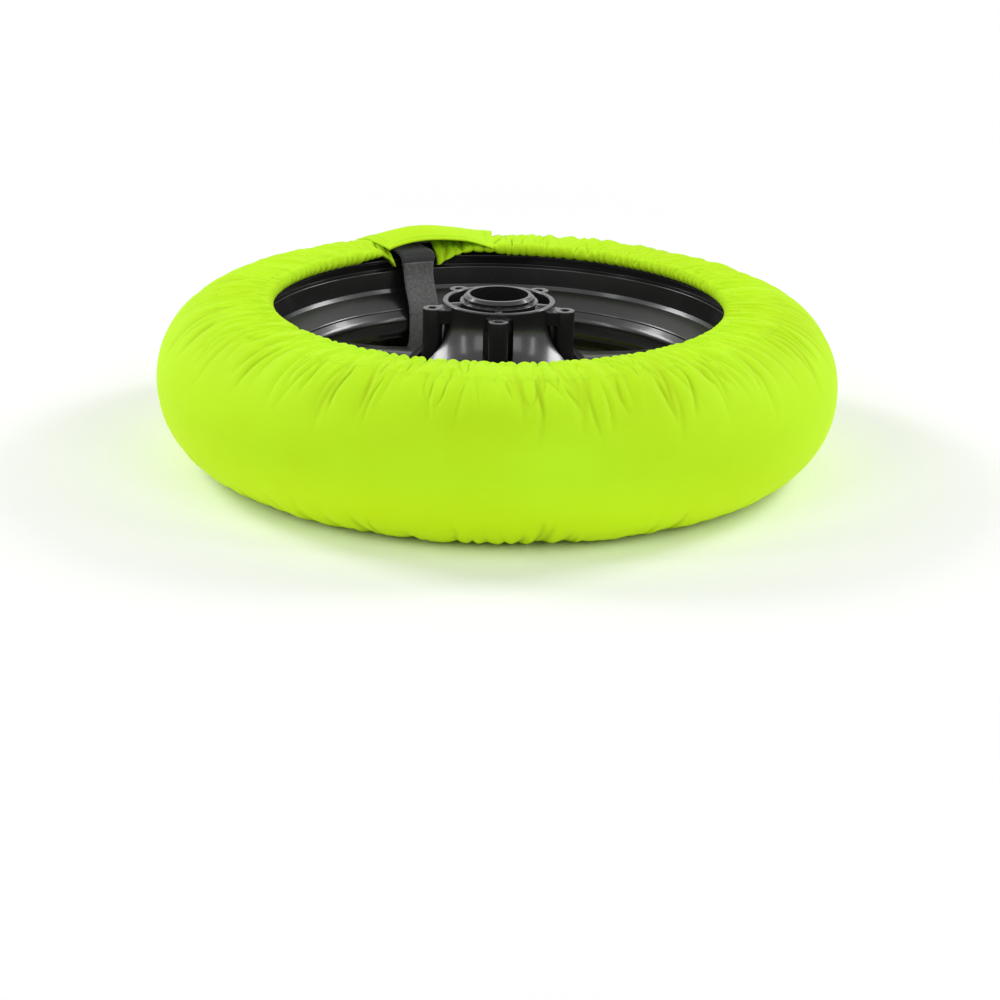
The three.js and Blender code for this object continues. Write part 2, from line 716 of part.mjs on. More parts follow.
function tyre() {
  const seat = clearRadius(BEAD_RADIUS, paddingPitch);
  const flangeClear = clearRadius(RIM_RADIUS, paddingPitch);
  const beadFace = BEAD_SPACING / 2 - LAYER_GAP;
  const [shoulderRadius, shoulderTop] = sectionPoint(panelEdge, tyreInset);
  const shoulder = shoulderTop - middle;
  const upper = [
    [crestRadius, shoulder + WALL_SWELL],
    [flangeClear + WALL_SWELL, shoulder - TYRE_WALL],
    [flangeClear, beadFace],
    [seat, beadFace],
    [seat, beadFace - BEAD_DEPTH],
    [seat + TYRE_WALL, beadFace - BEAD_DEPTH],
    [flangeClear + TYRE_WALL, shoulder - TYRE_WALL * 2],
  ];
  const crown = panelSweeps.slice(1, -1);
  const outer = crown.map((sweep) => sectionPoint(sweep, tyreInset));
  const inside = panelSweeps.slice(2, -2);
  const inner = inside.map((sweep) => sectionPoint(sweep, tyreInset + TYRE_WALL)).reverse();
  const raise = ([r, z]) => [r, middle + z];
  const mirror = ([r, z]) => [r, middle - z];
  const section = [
    ...outer,
    [shoulderRadius, shoulderTop],
    ...upper.map(raise),
    ...inner,
    ...upper.map(mirror).reverse(),
    [shoulderRadius, SLEEVE_HEIGHT - shoulderTop],
  ];
  return swept(paddingColumns, () => section, true);
}

// Wheel, drawn about its own middle plane

// The casting's rim, hub and spokes are modelled apart, with a layer gap where they meet.

// The rim has a deep well with a hole for the valve.
function rim() {
  const beadFace = BEAD_SPACING / 2;
  const upper = [
    [WELL_RADIUS + WELL_WALL, WELL_WIDTH / 2],
    [BEAD_RADIUS, beadFace - BEAD_SEAT],
    [BEAD_RADIUS, beadFace],
    [RIM_RADIUS, beadFace + FLANGE_BEVEL],
    [RIM_RADIUS - FLANGE_BEVEL, beadFace + FLANGE - FLANGE_BEVEL / 2],
    [LIP_RADIUS, beadFace + FLANGE],
    [BEAD_RADIUS + FLANGE_BEVEL / 2, beadFace + FLANGE_WALL],
    [BEAD_RADIUS - RIM_WALL, beadFace - BEAD_SEAT],
    [WELL_RADIUS + WELL_SHOULDER, WELL_WIDTH],
    [WELL_RADIUS, WELL_WIDTH / 2],
  ];
  const mirrored = upper.map(([r, z]) => [r, -z]).reverse();
  const hole = pointedOut(
    cylinder(VALVE_HOLE + LAYER_GAP, SPOKE_WAIST, RIM_RADIUS, FITTING_SIDES),
    VALVE_ANGLE,
  );
  const solid = solidOf(turned([...upper, ...mirrored], RIM_SIDES));
  return geometryOf(solid.subtract(solidOf(hole)));
}

// The bell's outer curve from its neck to its foot.
function bellFlare(clearance) {
  const neck = HUB_HALF - RING_DEPTH - RING_BEVEL;
  const flare = [];
  for (let i = 0; i <= BELL_STEPS; i++) {
    const share = i / BELL_STEPS;
    flare.push([
      BELL_NECK_RADIUS + (BELL_FOOT_RADIUS - BELL_NECK_RADIUS) * share ** 2 + clearance,
      BELL_FOOT_HALF + (neck - BELL_FOOT_HALF) * (1 - share) + clearance,
    ]);
  }
  return flare;
}

// A spoke is lofted through four chamfered sections and curves in to a waist. Its ends follow
// the hub's bell and the rim's well.
function spoke(number) {
  const halfway = (root, waist) => ((root + waist) / 2) * SPOKE_HOLLOW;
  const stations = [
    [SPOKE_ROOT, SPOKE_WIDTH_ROOT, SPOKE_DEPTH_ROOT],
    [
      (SPOKE_ROOT + SPOKE_WAIST) / 2,
      halfway(SPOKE_WIDTH_ROOT, SPOKE_WIDTH_WAIST),
      halfway(SPOKE_DEPTH_ROOT, SPOKE_DEPTH_WAIST),
    ],
    [SPOKE_WAIST, SPOKE_WIDTH_WAIST, SPOKE_DEPTH_WAIST],
    [WELL_RADIUS + WELL_WALL / 2, SPOKE_WIDTH_RIM, SPOKE_DEPTH_RIM],
  ];
  const outline = (width, depth) => {
    const w = width / 2;
    const d = depth / 2;
    const c = SPOKE_CHAMFER;
    return [
      [w - c, -d],
      [w, -d + c],
      [w, d - c],
      [w - c, d],
      [-w + c, d],
      [-w, d - c],
      [-w, -d + c],
      [-w + c, -d],
    ];
  };
  const outlines = stations.map(([r, width, depth]) => {
    return outline(width, depth).map(([side, z]) => [r, side, z]);
  });
  const loft = skinned(outlines.reverse(), outline(SPOKE_WIDTH_ROOT, SPOKE_DEPTH_ROOT));
  const flare = bellFlare(LAYER_GAP);
  const top = flare[0][1];
  const bell = turned(
    [
      [BARREL_BORE, -top],
      ...flare.map(([r, z]) => [r, -z]),
      ...flare.reverse(),
      [BARREL_BORE, top],
    ],
    HUB_SIDES,
  );
  const well = cylinder(WELL_RADIUS - LAYER_GAP, -HUB_HALF, HUB_HALF, RIM_SIDES);
  const angle = FIRST_SPOKE + (number * TURN) / SPOKES;
  return geometryOf(
    solidOf(loft).rotate([0, 0, angle]).intersect(solidOf(well)).subtract(solidOf(bell)),
  );
}

// The hub's profile: a bell with a ring at each end, and a deep groove between the ring and the
// collar that holds a bearing.
function hubProfile() {
  const ringInside = RING_RADIUS - RING_WIDTH;
  const half = (collarRise) => [
    [BARREL_BORE, HUB_HALF + collarRise - SEAT_DEPTH],
    [SEAT_RADIUS, HUB_HALF + collarRise - SEAT_DEPTH],
    [SEAT_RADIUS, HUB_HALF + collarRise],
    [COLLAR_RADIUS, HUB_HALF + collarRise],
    [COLLAR_RADIUS, HUB_HALF - POCKET_DEPTH],
    [ringInside, HUB_HALF - POCKET_DEPTH],
    [ringInside, HUB_HALF],
    [RING_RADIUS, HUB_HALF],
    [RING_RADIUS, HUB_HALF - RING_DEPTH],
  ];
  const upper = [...half(COLLAR_RISE), ...bellFlare(0)];
  const lower = [...half(0), ...bellFlare(0)].map(([r, z]) => [r, -z]);
  return [...lower, ...upper.reverse()];
}

// Five channels run down the bell's sides, and in each stands a post for a brake disc bolt,
// held by a web. Shorter webs cross the groove and divide it into five kidney-shaped pockets.
function hub() {
  const lugFace = HUB_HALF - LUG_STEP;
  const channelEnd = lugFace - RING_DEPTH / 2;
  const webEnd = HUB_HALF - WEB_STEP;
  const channel = solidOf(
    box(
      [CHANNEL_RADIUS, -CHANNEL_WIDTH / 2, -channelEnd],
      [BELL_FOOT_RADIUS + CHANNEL_WIDTH, CHANNEL_WIDTH / 2, channelEnd],
    ),
  );
  const post = solidOf(
    cylinder(LUG_RADIUS, -lugFace, lugFace, LUG_SIDES).translate(LUG_CIRCLE, 0, 0),
  );
  const collarWall = (COLLAR_RADIUS + SEAT_RADIUS) / 2;
  const pocketWeb = solidOf(
    box(
      [collarWall, -LUG_WEB / 2, -webEnd],
      [RING_RADIUS - RING_WIDTH / 2, LUG_WEB / 2, webEnd],
    ),
  );
  const lugWeb = solidOf(
    box(
      [CHANNEL_RADIUS - WEB_STEP, -LUG_WEB / 2, WEB_STEP - lugFace],
      [LUG_CIRCLE, LUG_WEB / 2, lugFace - WEB_STEP],
    ),
  );
  const carrier = post.add(lugWeb).add(pocketWeb);
  const holeFoot = lugFace - LUG_HOLE_DEPTH;
  const hole = solidOf(
    cylinder(LUG_HOLE, holeFoot, HUB_HALF, LUG_HOLE_SIDES).translate(LUG_CIRCLE, 0, 0),
  );
  let solid = solidOf(turned(hubProfile(), HUB_SIDES));
  for (let i = 0; i < SPOKES; i++) {
    const lugAngle = FIRST_SPOKE + ((i + 0.5) * TURN) / SPOKES;
    solid = solid.subtract(channel.rotate([0, 0, lugAngle]));
    solid = solid.add(carrier.rotate([0, 0, lugAngle]));
    solid = solid.subtract(hole.rotate([0, 0, lugAngle]));
    solid = solid.subtract(hole.mirror([0, 0, 1]).rotate([0, 0, lugAngle]));
  }
  return geometryOf(solid);
}

// Valve

// The rubber stem is pulled through the well from the tyre's side, where its head stays.
function valveStem() {
  const seat = WELL_RADIUS + WELL_WALL + LAYER_GAP;
  const inside = WELL_RADIUS * Math.cos((TURN / RIM_SIDES / 2) * DEGREE) - LAYER_GAP;
  const end = seat - VALVE_LENGTH;
  const capMouth = end + VALVE_CAP_LENGTH - VALVE_CAP_ROOF;
  const collar = inside - VALVE_COLLAR_DEPTH;
  const profile = [
    [0, end],
    [VALVE_CAP_BORE - LAYER_GAP, end],
    [VALVE_CAP_BORE - LAYER_GAP, capMouth],
    [VALVE_STEM, capMouth],
    [VALVE_NECK, collar - VALVE_TAPER],
    [VALVE_COLLAR, collar],
    [VALVE_COLLAR, inside],
    [VALVE_HOLE, inside],
    [VALVE_HOLE, seat],
    [VALVE_HEAD, seat],
    [VALVE_HEAD, seat + VALVE_HEAD_DEPTH / 2],
    [0, seat + VALVE_HEAD_DEPTH],
  ].map(([r, z]) => new THREE.Vector2(r, z));
  const lathe = new THREE.LatheGeometry(profile, FITTING_SIDES).rotateX(Math.PI / 2);
  return pointedOut(lathe, VALVE_ANGLE);
}

function valveCap() {
  const stemEnd = WELL_RADIUS + WELL_WALL + LAYER_GAP - VALVE_LENGTH;
  const inside = stemEnd - LAYER_GAP;
  const mouth = stemEnd + VALVE_CAP_LENGTH - VALVE_CAP_ROOF - LAYER_GAP;
  const top = inside - VALVE_CAP_ROOF;
  const profile = [
    [0, top],
    [VALVE_CAP - VALVE_CAP_BEVEL, top],
    [VALVE_CAP, top + VALVE_CAP_BEVEL],
    [VALVE_CAP, mouth],
    [VALVE_CAP_BORE, mouth],
    [VALVE_CAP_BORE, inside],
    [0, inside],
  ].map(([r, z]) => new THREE.Vector2(r, z));
  const lathe = new THREE.LatheGeometry(profile, FITTING_SIDES).rotateX(Math.PI / 2);
  return pointedOut(lathe, VALVE_ANGLE);
}

// Materials and assembly

function material(color, roughness, metalness = 0) {
  return new THREE.MeshStandardMaterial({ color, roughness, metalness });
}

function piece(name, geometry, surface) {
  const bare = geometry.index ? geometry.toNonIndexed() : geometry;
  bare.computeVertexNormals();
  const mesh = new THREE.Mesh(bare, surface);
  mesh.name = name;
  return mesh;
}

const neonFabric = () => material(0xb9f02c, 0.85);
const whiteElastic = () => material(0xe8e8e0, 0.8);
const webbingBlack = () => material(0x2a2a2a, 0.9);
const rubberBlack = () => material(0x161616, 0.7);
const glossBlack = () => material(0x0d0d0e, 0.25, 0.6);

const sleeve = new THREE.Group();
sleeve.add(
  piece("tread_panel", treadPanel(), neonFabric()),
  piece("upper_skirt", skirt(true), neonFabric()),
  piece("lower_skirt", skirt(false), neonFabric()),
  piece("upper_elastic", elastic(true), whiteElastic()),
  piece("lower_elastic", elastic(false), whiteElastic()),
  piece("insulation_felt", insulationFelt(), material(0xc9c7bd, 0.95)),
  piece("heating_tape", heatingTape(), material(0xb4652f, 0.5, 0.4)),
  piece("inner_lining", paddingLayer(liningOuter, liningInner), material(0x1c1c1e, 0.85)),
  piece("heat_switch", heatSwitch(), material(0x8a8a8a, 0.4, 0.8)),
  piece("cable_gland", cableGland(), rubberBlack()),
  piece("closure_flap", closureFlap(), neonFabric()),
  piece("loop_strip", tapeStrip(LAYER_GAP), webbingBlack()),
  piece("hook_strip", tapeStrip(LAYER_GAP * 2 + TAPE), webbingBlack()),
);

const straps = new THREE.Group();
straps.position.z = middle;
straps.add(
  piece("upper_strap_tab", strapTab(true), webbingBlack()),
  piece("strap", strap(), webbingBlack()),
  piece("lower_strap_tab", strapTab(false), webbingBlack()),
);

const rolling = new THREE.Group();
rolling.position.z = middle;
rolling.add(
  piece("wheel_rim", rim(), glossBlack()),
  piece("wheel_hub", hub(), glossBlack()),
  piece("valve_stem", valveStem(), rubberBlack()),
  piece("valve_cap", valveCap(), rubberBlack()),
);
for (let i = 0; i < SPOKES; i++) {
  rolling.add(piece(`wheel_spoke_${i + 1}`, spoke(i), glossBlack()));
}

const warmer = new THREE.Group();
warmer.add(sleeve, straps, rolling, piece("tyre", tyre(), rubberBlack()));

export default warmer;
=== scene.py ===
"""A motorcycle tire warmer on a front wheel that lies on its side.

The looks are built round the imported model, in metres, +Z up. The wheel's axis is Z.
"""

import math

import bmesh
import bpy
import numpy as np
from mathutils import Matrix, Vector


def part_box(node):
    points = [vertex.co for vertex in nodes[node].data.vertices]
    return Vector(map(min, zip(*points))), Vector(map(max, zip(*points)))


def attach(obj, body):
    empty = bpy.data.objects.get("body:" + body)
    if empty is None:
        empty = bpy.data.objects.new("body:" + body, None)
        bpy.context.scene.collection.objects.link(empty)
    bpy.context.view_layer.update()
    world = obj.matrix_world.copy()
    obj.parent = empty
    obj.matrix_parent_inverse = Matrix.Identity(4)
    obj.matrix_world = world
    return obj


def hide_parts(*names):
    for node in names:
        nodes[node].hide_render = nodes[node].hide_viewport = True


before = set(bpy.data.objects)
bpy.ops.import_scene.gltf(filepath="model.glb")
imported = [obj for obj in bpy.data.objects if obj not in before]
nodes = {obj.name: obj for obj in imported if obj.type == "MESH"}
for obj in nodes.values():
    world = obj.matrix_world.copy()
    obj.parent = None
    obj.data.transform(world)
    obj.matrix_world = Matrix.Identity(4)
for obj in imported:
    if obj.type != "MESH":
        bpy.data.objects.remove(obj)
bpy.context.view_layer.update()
mm = 0.001

# The sleeve's cloth
# The warmer's outside is coated woven polyester in fluorescent yellow-green, cut as a tread panel
# and two side skirts. The hems are rolled round elastic, which draws the cloth into gathers that
# run out over the shoulders. The sleeve is open at the back, where its two ends meet.

panel_low, panel_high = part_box("tread_panel")
SLEEVE_RADIUS = max(panel_high.x, -panel_low.x)
SLEEVE_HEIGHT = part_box("upper_skirt")[1].z
SECTION_DEPTH = 71.2 * mm
SECTION_POWER = 2.08
SEAM_RADIUS = 260 * mm
HOLE_RADIUS = 207.6 * mm
HEM_TOP = 145.1 * mm
HEM_ROLL = 4.3 * mm
HEM_RETURN = 3 * mm
LEFT_END = 119.0
RIGHT_END = 467.0
CLOTH = 1.2 * mm
SKIRT_BACKING = 4.4 * mm
PANEL_BACKING = 4.6 * mm
PUFF = 2.2 * mm
PUFF_REACH = 75 * mm
DEEPEST_FOLD = 4.2 * mm
FRILL_DEPTH = 2.6 * mm
FRILL_REACH = 12 * mm
BILLOW = 0.5 * mm
BILLOW_REACH = 60 * mm
TAB_PULL_REACH = 34 * mm
FLOOR_GAP = 0.1 * mm
ROLL_STEPS = 28
CROWN_STEPS = 30
SHOULDER_STEPS = 160

middle = SLEEVE_HEIGHT / 2
crest_radius = SLEEVE_RADIUS - SECTION_DEPTH


def section_point(sweep):
    """Radius and height on the round section. Sweep is 0 at the widest point, 90 at the crest."""
    cosine = np.cos(np.radians(sweep))
    sine = np.sin(np.radians(sweep))
    power = 2 / SECTION_POWER
    radius = crest_radius + SECTION_DEPTH * np.sign(cosine) * np.abs(cosine) ** power
    height = middle + middle * np.sign(sine) * np.abs(sine) ** power
    return np.stack([radius, height], axis=-1)


def upper_outline():
    """The cloth's outline from the hem's folded edge, round the roll and over the crest."""
    turn = np.radians(np.linspace(-90, -270, ROLL_STEPS))
    roll_centre = np.array([HOLE_RADIUS + HEM_ROLL, HEM_TOP - HEM_ROLL])
    roll = roll_centre + HEM_ROLL * np.stack([np.cos(turn), np.sin(turn)], axis=-1)
    folded = np.array([[roll_centre[0] + HEM_RETURN, HEM_TOP - 2 * HEM_ROLL]])
    share = np.linspace(0, 1, CROWN_STEPS)[1:-1]
    crown_radius = roll_centre[0] + (crest_radius - roll_centre[0]) * share
    crown_height = HEM_TOP + (SLEEVE_HEIGHT - HEM_TOP) * (1 - (1 - share) ** 2)
    crown = np.stack([crown_radius, crown_height], axis=-1)
    shoulder = section_point(np.linspace(90, 0, SHOULDER_STEPS))
    return np.concatenate([folded, roll, crown, shoulder])


upper_half = upper_outline()
lower_half = (upper_half * [1, -1] + [0, SLEEVE_HEIGHT])[::-1]
outline = np.concatenate([upper_half, lower_half[1:]])
outline_steps = np.hypot(*np.diff(outline, axis=0).T)
outline_reach = np.concatenate([[0], np.cumsum(outline_steps)])
nose_at = HEM_RETURN + HEM_ROLL * math.pi / 2
outline_reach = outline_reach - nose_at
span = outline_reach[-1] - nose_at
outline_slope = np.gradient(outline, outline_reach, axis=0)
sweeps = np.linspace(0, 90, 400)
seam_sweep = np.interp(-SEAM_RADIUS, -section_point(sweeps)[:, 0], sweeps)
seam_height = section_point(seam_sweep)[1]
shoulder = slice(len(upper_half) - SHOULDER_STEPS, len(upper_half))
seam_reach = np.interp(-seam_height, -outline[shoulder, 1], outline_reach[shoulder])

chance = np.random.default_rng(11)
frill_count = 150
frill_edges = np.cumsum(0.6 + 0.8 * chance.random(frill_count))
frill_edges = LEFT_END + (RIGHT_END - LEFT_END) * frill_edges / frill_edges[-1]
frill_edges = np.concatenate([[LEFT_END], frill_edges])
frill_height = 0.55 + 0.45 * chance.random(frill_count + 1)


def fold_family(count, start, length, width, depth, lean, wander):
    """Folds with random places and sizes. Each size is a (smallest, largest) pair."""

    def between(pair):
        return pair[0] + (pair[1] - pair[0]) * chance.random(count)

    return {
        "angle": chance.choice(frill_edges, count),
        "start": between(start),
        "length": between(length),
        "width": between(width),
        "depth": between(depth),
        "lean": between(lean),
        "wander": between(wander),
        "phase": between((0, 2 * math.pi)),
    }


upper_families = [
    fold_family(
        250,
        start=(-1 * mm, 14 * mm),
        length=(18 * mm, 56 * mm),
        width=(1.2 * mm, 2.5 * mm),
        depth=(2.6 * mm, 6.0 * mm),
        lean=(-0.35, 0.35),
        wander=(0.3 * mm, 1.6 * mm),
    ),
    fold_family(
        250,
        start=(12 * mm, 62 * mm),
        length=(24 * mm, 62 * mm),
        width=(1.4 * mm, 2.8 * mm),
        depth=(2.4 * mm, 6.0 * mm),
        lean=(-0.28, 0.28),
        wander=(0.5 * mm, 2.0 * mm),
    ),
    fold_family(
        150,
        start=(2 * mm, 36 * mm),
        length=(62 * mm, 116 * mm),
        width=(2.4 * mm, 4.6 * mm),
        depth=(2.4 * mm, 5.2 * mm),
        lean=(-0.15, 0.15),
        wander=(1.0 * mm, 3.5 * mm),
    ),
]
lower_families = [
    fold_family(
        130,
        start=(0, 24 * mm),
        length=(20 * mm, 60 * mm),
        width=(1.6 * mm, 3.2 * mm),
        depth=(1.8 * mm, 4.2 * mm),
        lean=(-0.25, 0.25),
        wander=(0.3 * mm, 1.4 * mm),
    ),
    fold_family(
        190,
        start=(18 * mm, 50 * mm),
        length=(44 * mm, 78 * mm),
        width=(1.8 * mm, 4.6 * mm),
        depth=(2.4 * mm, 5.4 * mm),
        lean=(-0.1, 0.1),
        wander=(0.6 * mm, 2.0 * mm),
    ),
]


def folded_in(angle, reach, families):
    """How far the folds press the cloth in, at angles in degrees and distances from the hem."""
    cubes = np.zeros(np.broadcast(angle, reach).shape)
    for family in families:
        for fold in range(len(family["angle"])):
            along = (reach - family["start"][fold]) / family["length"][fold]
            inside = np.clip(along, 0, 1)
            shape = np.sin(math.pi * inside**0.55) ** 1.1
            sideways = np.radians(angle - family["angle"][fold]) * crest_radius
            sideways = sideways - family["lean"][fold] * (reach - family["start"][fold])
            bend = np.sin(inside * 5 + family["phase"][fold])
            sideways = sideways - family["wander"][fold] * bend
            away = np.abs(sideways / family["width"][fold])
            depth = family["depth"][fold] * shape * np.exp(-(away**1.2))
            cubes += depth * depth * depth
    return np.cbrt(cubes)


def frilled_in(angle, reach):
    """The fine frill that the elastic draws into the hem."""
    place = np.clip(np.searchsorted(frill_edges, angle) - 1, 0, frill_count - 1)
    width = frill_edges[place + 1] - frill_edges[place]
    share = np.clip((angle - frill_edges[place]) / width, 0, 1)
    valley = (1 - np.abs(np.sin(math.pi * share)) ** 0.6) * frill_height[place]
    return FRILL_DEPTH * valley * np.exp(-((reach / FRILL_REACH) ** 2))


END_DIPS = [(LEFT_END, 6.0, 16 * mm), (RIGHT_END, 13.0, 17.5 * mm)]


def pulled_down(angle):
    """How far the strap's tab pulls the two ends of the hem down."""
    drop = np.zeros_like(angle)
    for end, away, most in END_DIPS:
        drop += most * np.clip(1 - np.abs(angle - end) / away, 0, 1) ** 2
    return drop


def cloth_surface(angle, reach, inset=0.0, smooth=0.0):
    """Points on the cloth, and how deep in a fold each lies. Smooth is 1 on a backing."""
    radius = np.interp(reach, outline_reach, outline[:, 0])
    plain_height = np.interp(reach, outline_reach, outline[:, 1])
    out_radius = np.interp(reach, outline_reach, -outline_slope[:, 1])
    out_height = np.interp(reach, outline_reach, outline_slope[:, 0])
    from_lower = span - reach
    from_hem = np.minimum(reach, from_lower)
    upper_share = np.clip((span * 0.62 - reach) / (span * 0.1), 0, 1)
    depth = folded_in(angle, reach, upper_families) * upper_share
    depth += folded_in(angle, from_lower, lower_families) * (1 - upper_share)
    depth = DEEPEST_FOLD * np.tanh(depth / DEEPEST_FOLD)
    depth += frilled_in(angle, reach) + frilled_in(angle, from_lower)
    billow = np.sin(np.radians(angle) * 13 + 1.7) * 0.5 + np.sin(np.radians(angle) * 29) * 0.3
    depth += BILLOW * billow * np.clip(from_hem / BILLOW_REACH, 0, 1)
    under_flap = np.clip((angle - 448) / 4, 0, 1) + np.clip((125 - angle) / 3, 0, 1)
    gathered = np.clip(1.4 - from_hem / PUFF_REACH, 0, 1)
    depth = np.maximum(depth, 0) - PUFF * gathered * (1 - under_flap)
    moved = inset + depth * (1 - smooth)
    radius = radius - moved * out_radius
    height = plain_height - moved * out_height
    near_hem = np.clip(1 - reach / TAB_PULL_REACH, 0, 1) ** 1.5
    near_lower = np.clip(1 - from_lower / TAB_PULL_REACH, 0, 1) ** 1.5
    height = height - pulled_down(angle) * (near_hem - near_lower)
    from_end = np.minimum(angle - LEFT_END, RIGHT_END - angle)
    thin = np.clip(1 - from_end / 12, 0, 1) ** 0.7 * (1 - smooth) * 0.72
    under = np.clip(HEM_TOP - 1.5 * mm - plain_height, 0, HEM_ROLL * 2)
    height = height + under * thin * (reach < HEM_ROLL * 2)
    height = np.maximum(height, FLOOR_GAP)
    turn = np.radians(angle)
    points = np.stack(
        np.broadcast_arrays(radius * np.cos(turn), radius * np.sin(turn), height), axis=-1
    )
    return points, np.broadcast_to(depth, points.shape[:2])


def swept_solid(name, loops, cloth_uv=None, fold_shade=None):
    """Skins a row of closed loops of points and caps both ends."""
    count, around = loops.shape[:2]
    index = np.arange(count * around).reshape(count, around)
    near = index[:-1]
    far = index[1:]
    quads = np.stack([near, far, np.roll(far, -1, axis=1), np.roll(near, -1, axis=1)], axis=-1)
    faces = quads.reshape(-1, 4).tolist()
    faces.append(index[0].tolist())
    faces.append(index[-1][::-1].tolist())
    mesh = bpy.data.meshes.new(name)
    mesh.from_pydata(loops.reshape(-1, 3).tolist(), [], faces)
    mesh.shade_smooth()
    if cloth_uv is not None:
        layer = mesh.uv_layers.new(name="cloth")
        corners = np.zeros(len(mesh.loops), np.int32)
        mesh.loops.foreach_get("vertex_index", corners)
        layer.data.foreach_set("uv", cloth_uv.reshape(-1, 2)[corners].astype(np.float32).ravel())
    # A point attribute for painted shade: how deep in a fold each point lies.
    if fold_shade is not None:
        attribute = mesh.attributes.new("fold_shade", "FLOAT", "POINT")
        attribute.data.foreach_set("value", fold_shade.astype(np.float32).ravel())
    piece = bpy.data.objects.new(name, mesh)
    bpy.context.scene.collection.objects.link(piece)
    return piece


def dress(piece, material, slot, *stands_for):
    """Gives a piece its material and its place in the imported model."""
    piece.data.materials.clear()
    piece.data.materials.append(material)
    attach(piece, "root")
    if stands_for:
        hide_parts(*stands_for)
    return piece


def new_material(name, color, roughness):
    """A material with its Principled shader and the tools to add nodes to it."""
    material = bpy.data.materials.new(name)
    material.use_nodes = True
    tree = material.node_tree
    shader = tree.nodes["Principled BSDF"]
    shader.inputs["Base Color"].default_value = (*color, 1)
    shader.inputs["Roughness"].default_value = roughness
    return material, tree, shader


def add_node(tree, kind, **settings):
    """A node with its sockets set or linked. Underscores in a socket's name stand for spaces."""
    node = tree.nodes.new(kind)
    for key, value in settings.items():
        if hasattr(node, key):
            setattr(node, key, value)
            continue
        socket = node.inputs[key.replace("_", " ")]
        if isinstance(value, bpy.types.NodeSocket):
            tree.links.new(value, socket)
        else:
            socket.default_value = value
    return node


NEON = (0.50, 0.90, 0.010)
# Painted shade: the darker, yellower colour put into the cloth's creases.
NEON_FOLD_SHADE = (0.38, 0.51, 0.0)
# Painted light: the yellower, brighter colour for the cloth low down.
NEON_LOW_LIGHTING = (0.70, 0.96, 0.0)
THREAD_PITCH = 0.9 * mm


def neon_cloth():
    """Plain weave in a fluorescent yellow-green, with shade painted into the folds as a darker,
    yellower colour and light painted low down as a yellower, brighter tone.
    """
    material, tree, shader = new_material("neon_cloth", NEON, 0.72)
    # Painted shade in the folds: the fold depth attribute mixes the colour towards the painted crease
    # shade.
    fold_shade = add_node(tree, "ShaderNodeAttribute", attribute_name="fold_shade")
    depth = add_node(tree, "ShaderNodeMapRange", Value=fold_shade.outputs["Fac"])
    depth.inputs["From Min"].default_value = 0.22
    depth.inputs["From Max"].default_value = 1.35
    position = add_node(tree, "ShaderNodeTexCoord")
    spot = position.outputs["Object"]
    tone = add_node(tree, "ShaderNodeTexNoise", Vector=spot, Scale=9.0, Detail=3.0)
    tint = add_node(tree, "ShaderNodeMix", data_type="RGBA")
    tree.links.new(tone.outputs["Fac"], tint.inputs[0])
    tint.inputs[6].default_value = (NEON[0], NEON[1] * 0.84, NEON[2] * 0.2, 1)
    tint.inputs[7].default_value = (NEON[0] * 1.08, NEON[1] * 1.08, NEON[2] * 2.0, 1)
    # Painted light by height: towards the bottom the colour turns yellower and brighter, standing in
    # for how the lower cloth is shaded and lit by the floor.
    axes = add_node(tree, "ShaderNodeSeparateXYZ", Vector=spot)
    low = add_node(tree, "ShaderNodeMapRange", Value=axes.outputs["Z"])
    low.inputs["From Min"].default_value = 0.075
    low.inputs["From Max"].default_value = 0.0
    low.inputs["To Max"].default_value = 0.9
    low_lighting_mix = add_node(tree, "ShaderNodeMix", data_type="RGBA")
    tree.links.new(low.outputs["Result"], low_lighting_mix.inputs[0])
    tree.links.new(tint.outputs[2], low_lighting_mix.inputs[6])
    low_lighting_mix.inputs[7].default_value = (*NEON_LOW_LIGHTING, 1)
    # This mix paints the shade of the folds over the cloth's colour.
    folded = add_node(tree, "ShaderNodeMix", data_type="RGBA")
    tree.links.new(depth.outputs["Result"], folded.inputs[0])
    tree.links.new(low_lighting_mix.outputs[2], folded.inputs[6])
    folded.inputs[7].default_value = (*NEON_FOLD_SHADE, 1)
    tree.links.new(folded.outputs[2], shader.inputs["Base Color"])
    place = add_node(tree, "ShaderNodeUVMap", uv_map="cloth")
    threads = add_node(tree, "ShaderNodeMapping", Vector=place.outputs["UV"])
    threads.inputs["Scale"].default_value = (1 / THREAD_PITCH, 1 / THREAD_PITCH, 1)
    warp = add_node(tree, "ShaderNodeTexWave", wave_type="BANDS", bands_direction="X", Scale=0.314)
    weft = add_node(tree, "ShaderNodeTexWave", wave_type="BANDS", bands_direction="Y", Scale=0.314)
    tree.links.new(threads.outputs["Vector"], warp.inputs["Vector"])
    tree.links.new(threads.outputs["Vector"], weft.inputs["Vector"])
    weave = add_node(tree, "ShaderNodeMath", operation="MULTIPLY")
    tree.links.new(warp.outputs["Fac"], weave.inputs[0])
    tree.links.new(weft.outputs["Fac"], weave.inputs[1])
    grain = add_node(tree, "ShaderNodeTexNoise", Vector=spot, Scale=420.0, Detail=2.0)
    surface = add_node(tree, "ShaderNodeMath", operation="ADD")
    tree.links.new(weave.outputs["Value"], surface.inputs[0])
    tree.links.new(grain.outputs["Fac"], surface.inputs[1])
    height = surface.outputs["Value"]
    bump = add_node(tree, "ShaderNodeBump", Height=height, Strength=0.35, Distance=0.12 * mm)
    tree.links.new(bump.outputs["Normal"], shader.inputs["Normal"])
    shader.inputs["Specular IOR Level"].default_value = 0.14
    shader.inputs["Sheen Weight"].default_value = 0.08
    shader.inputs["Sheen Roughness"].default_value = 0.4
    shader.inputs["Sheen Tint"].default_value = (0.8, 1.0, 0.2, 1)
    return material


neon = neon_cloth()


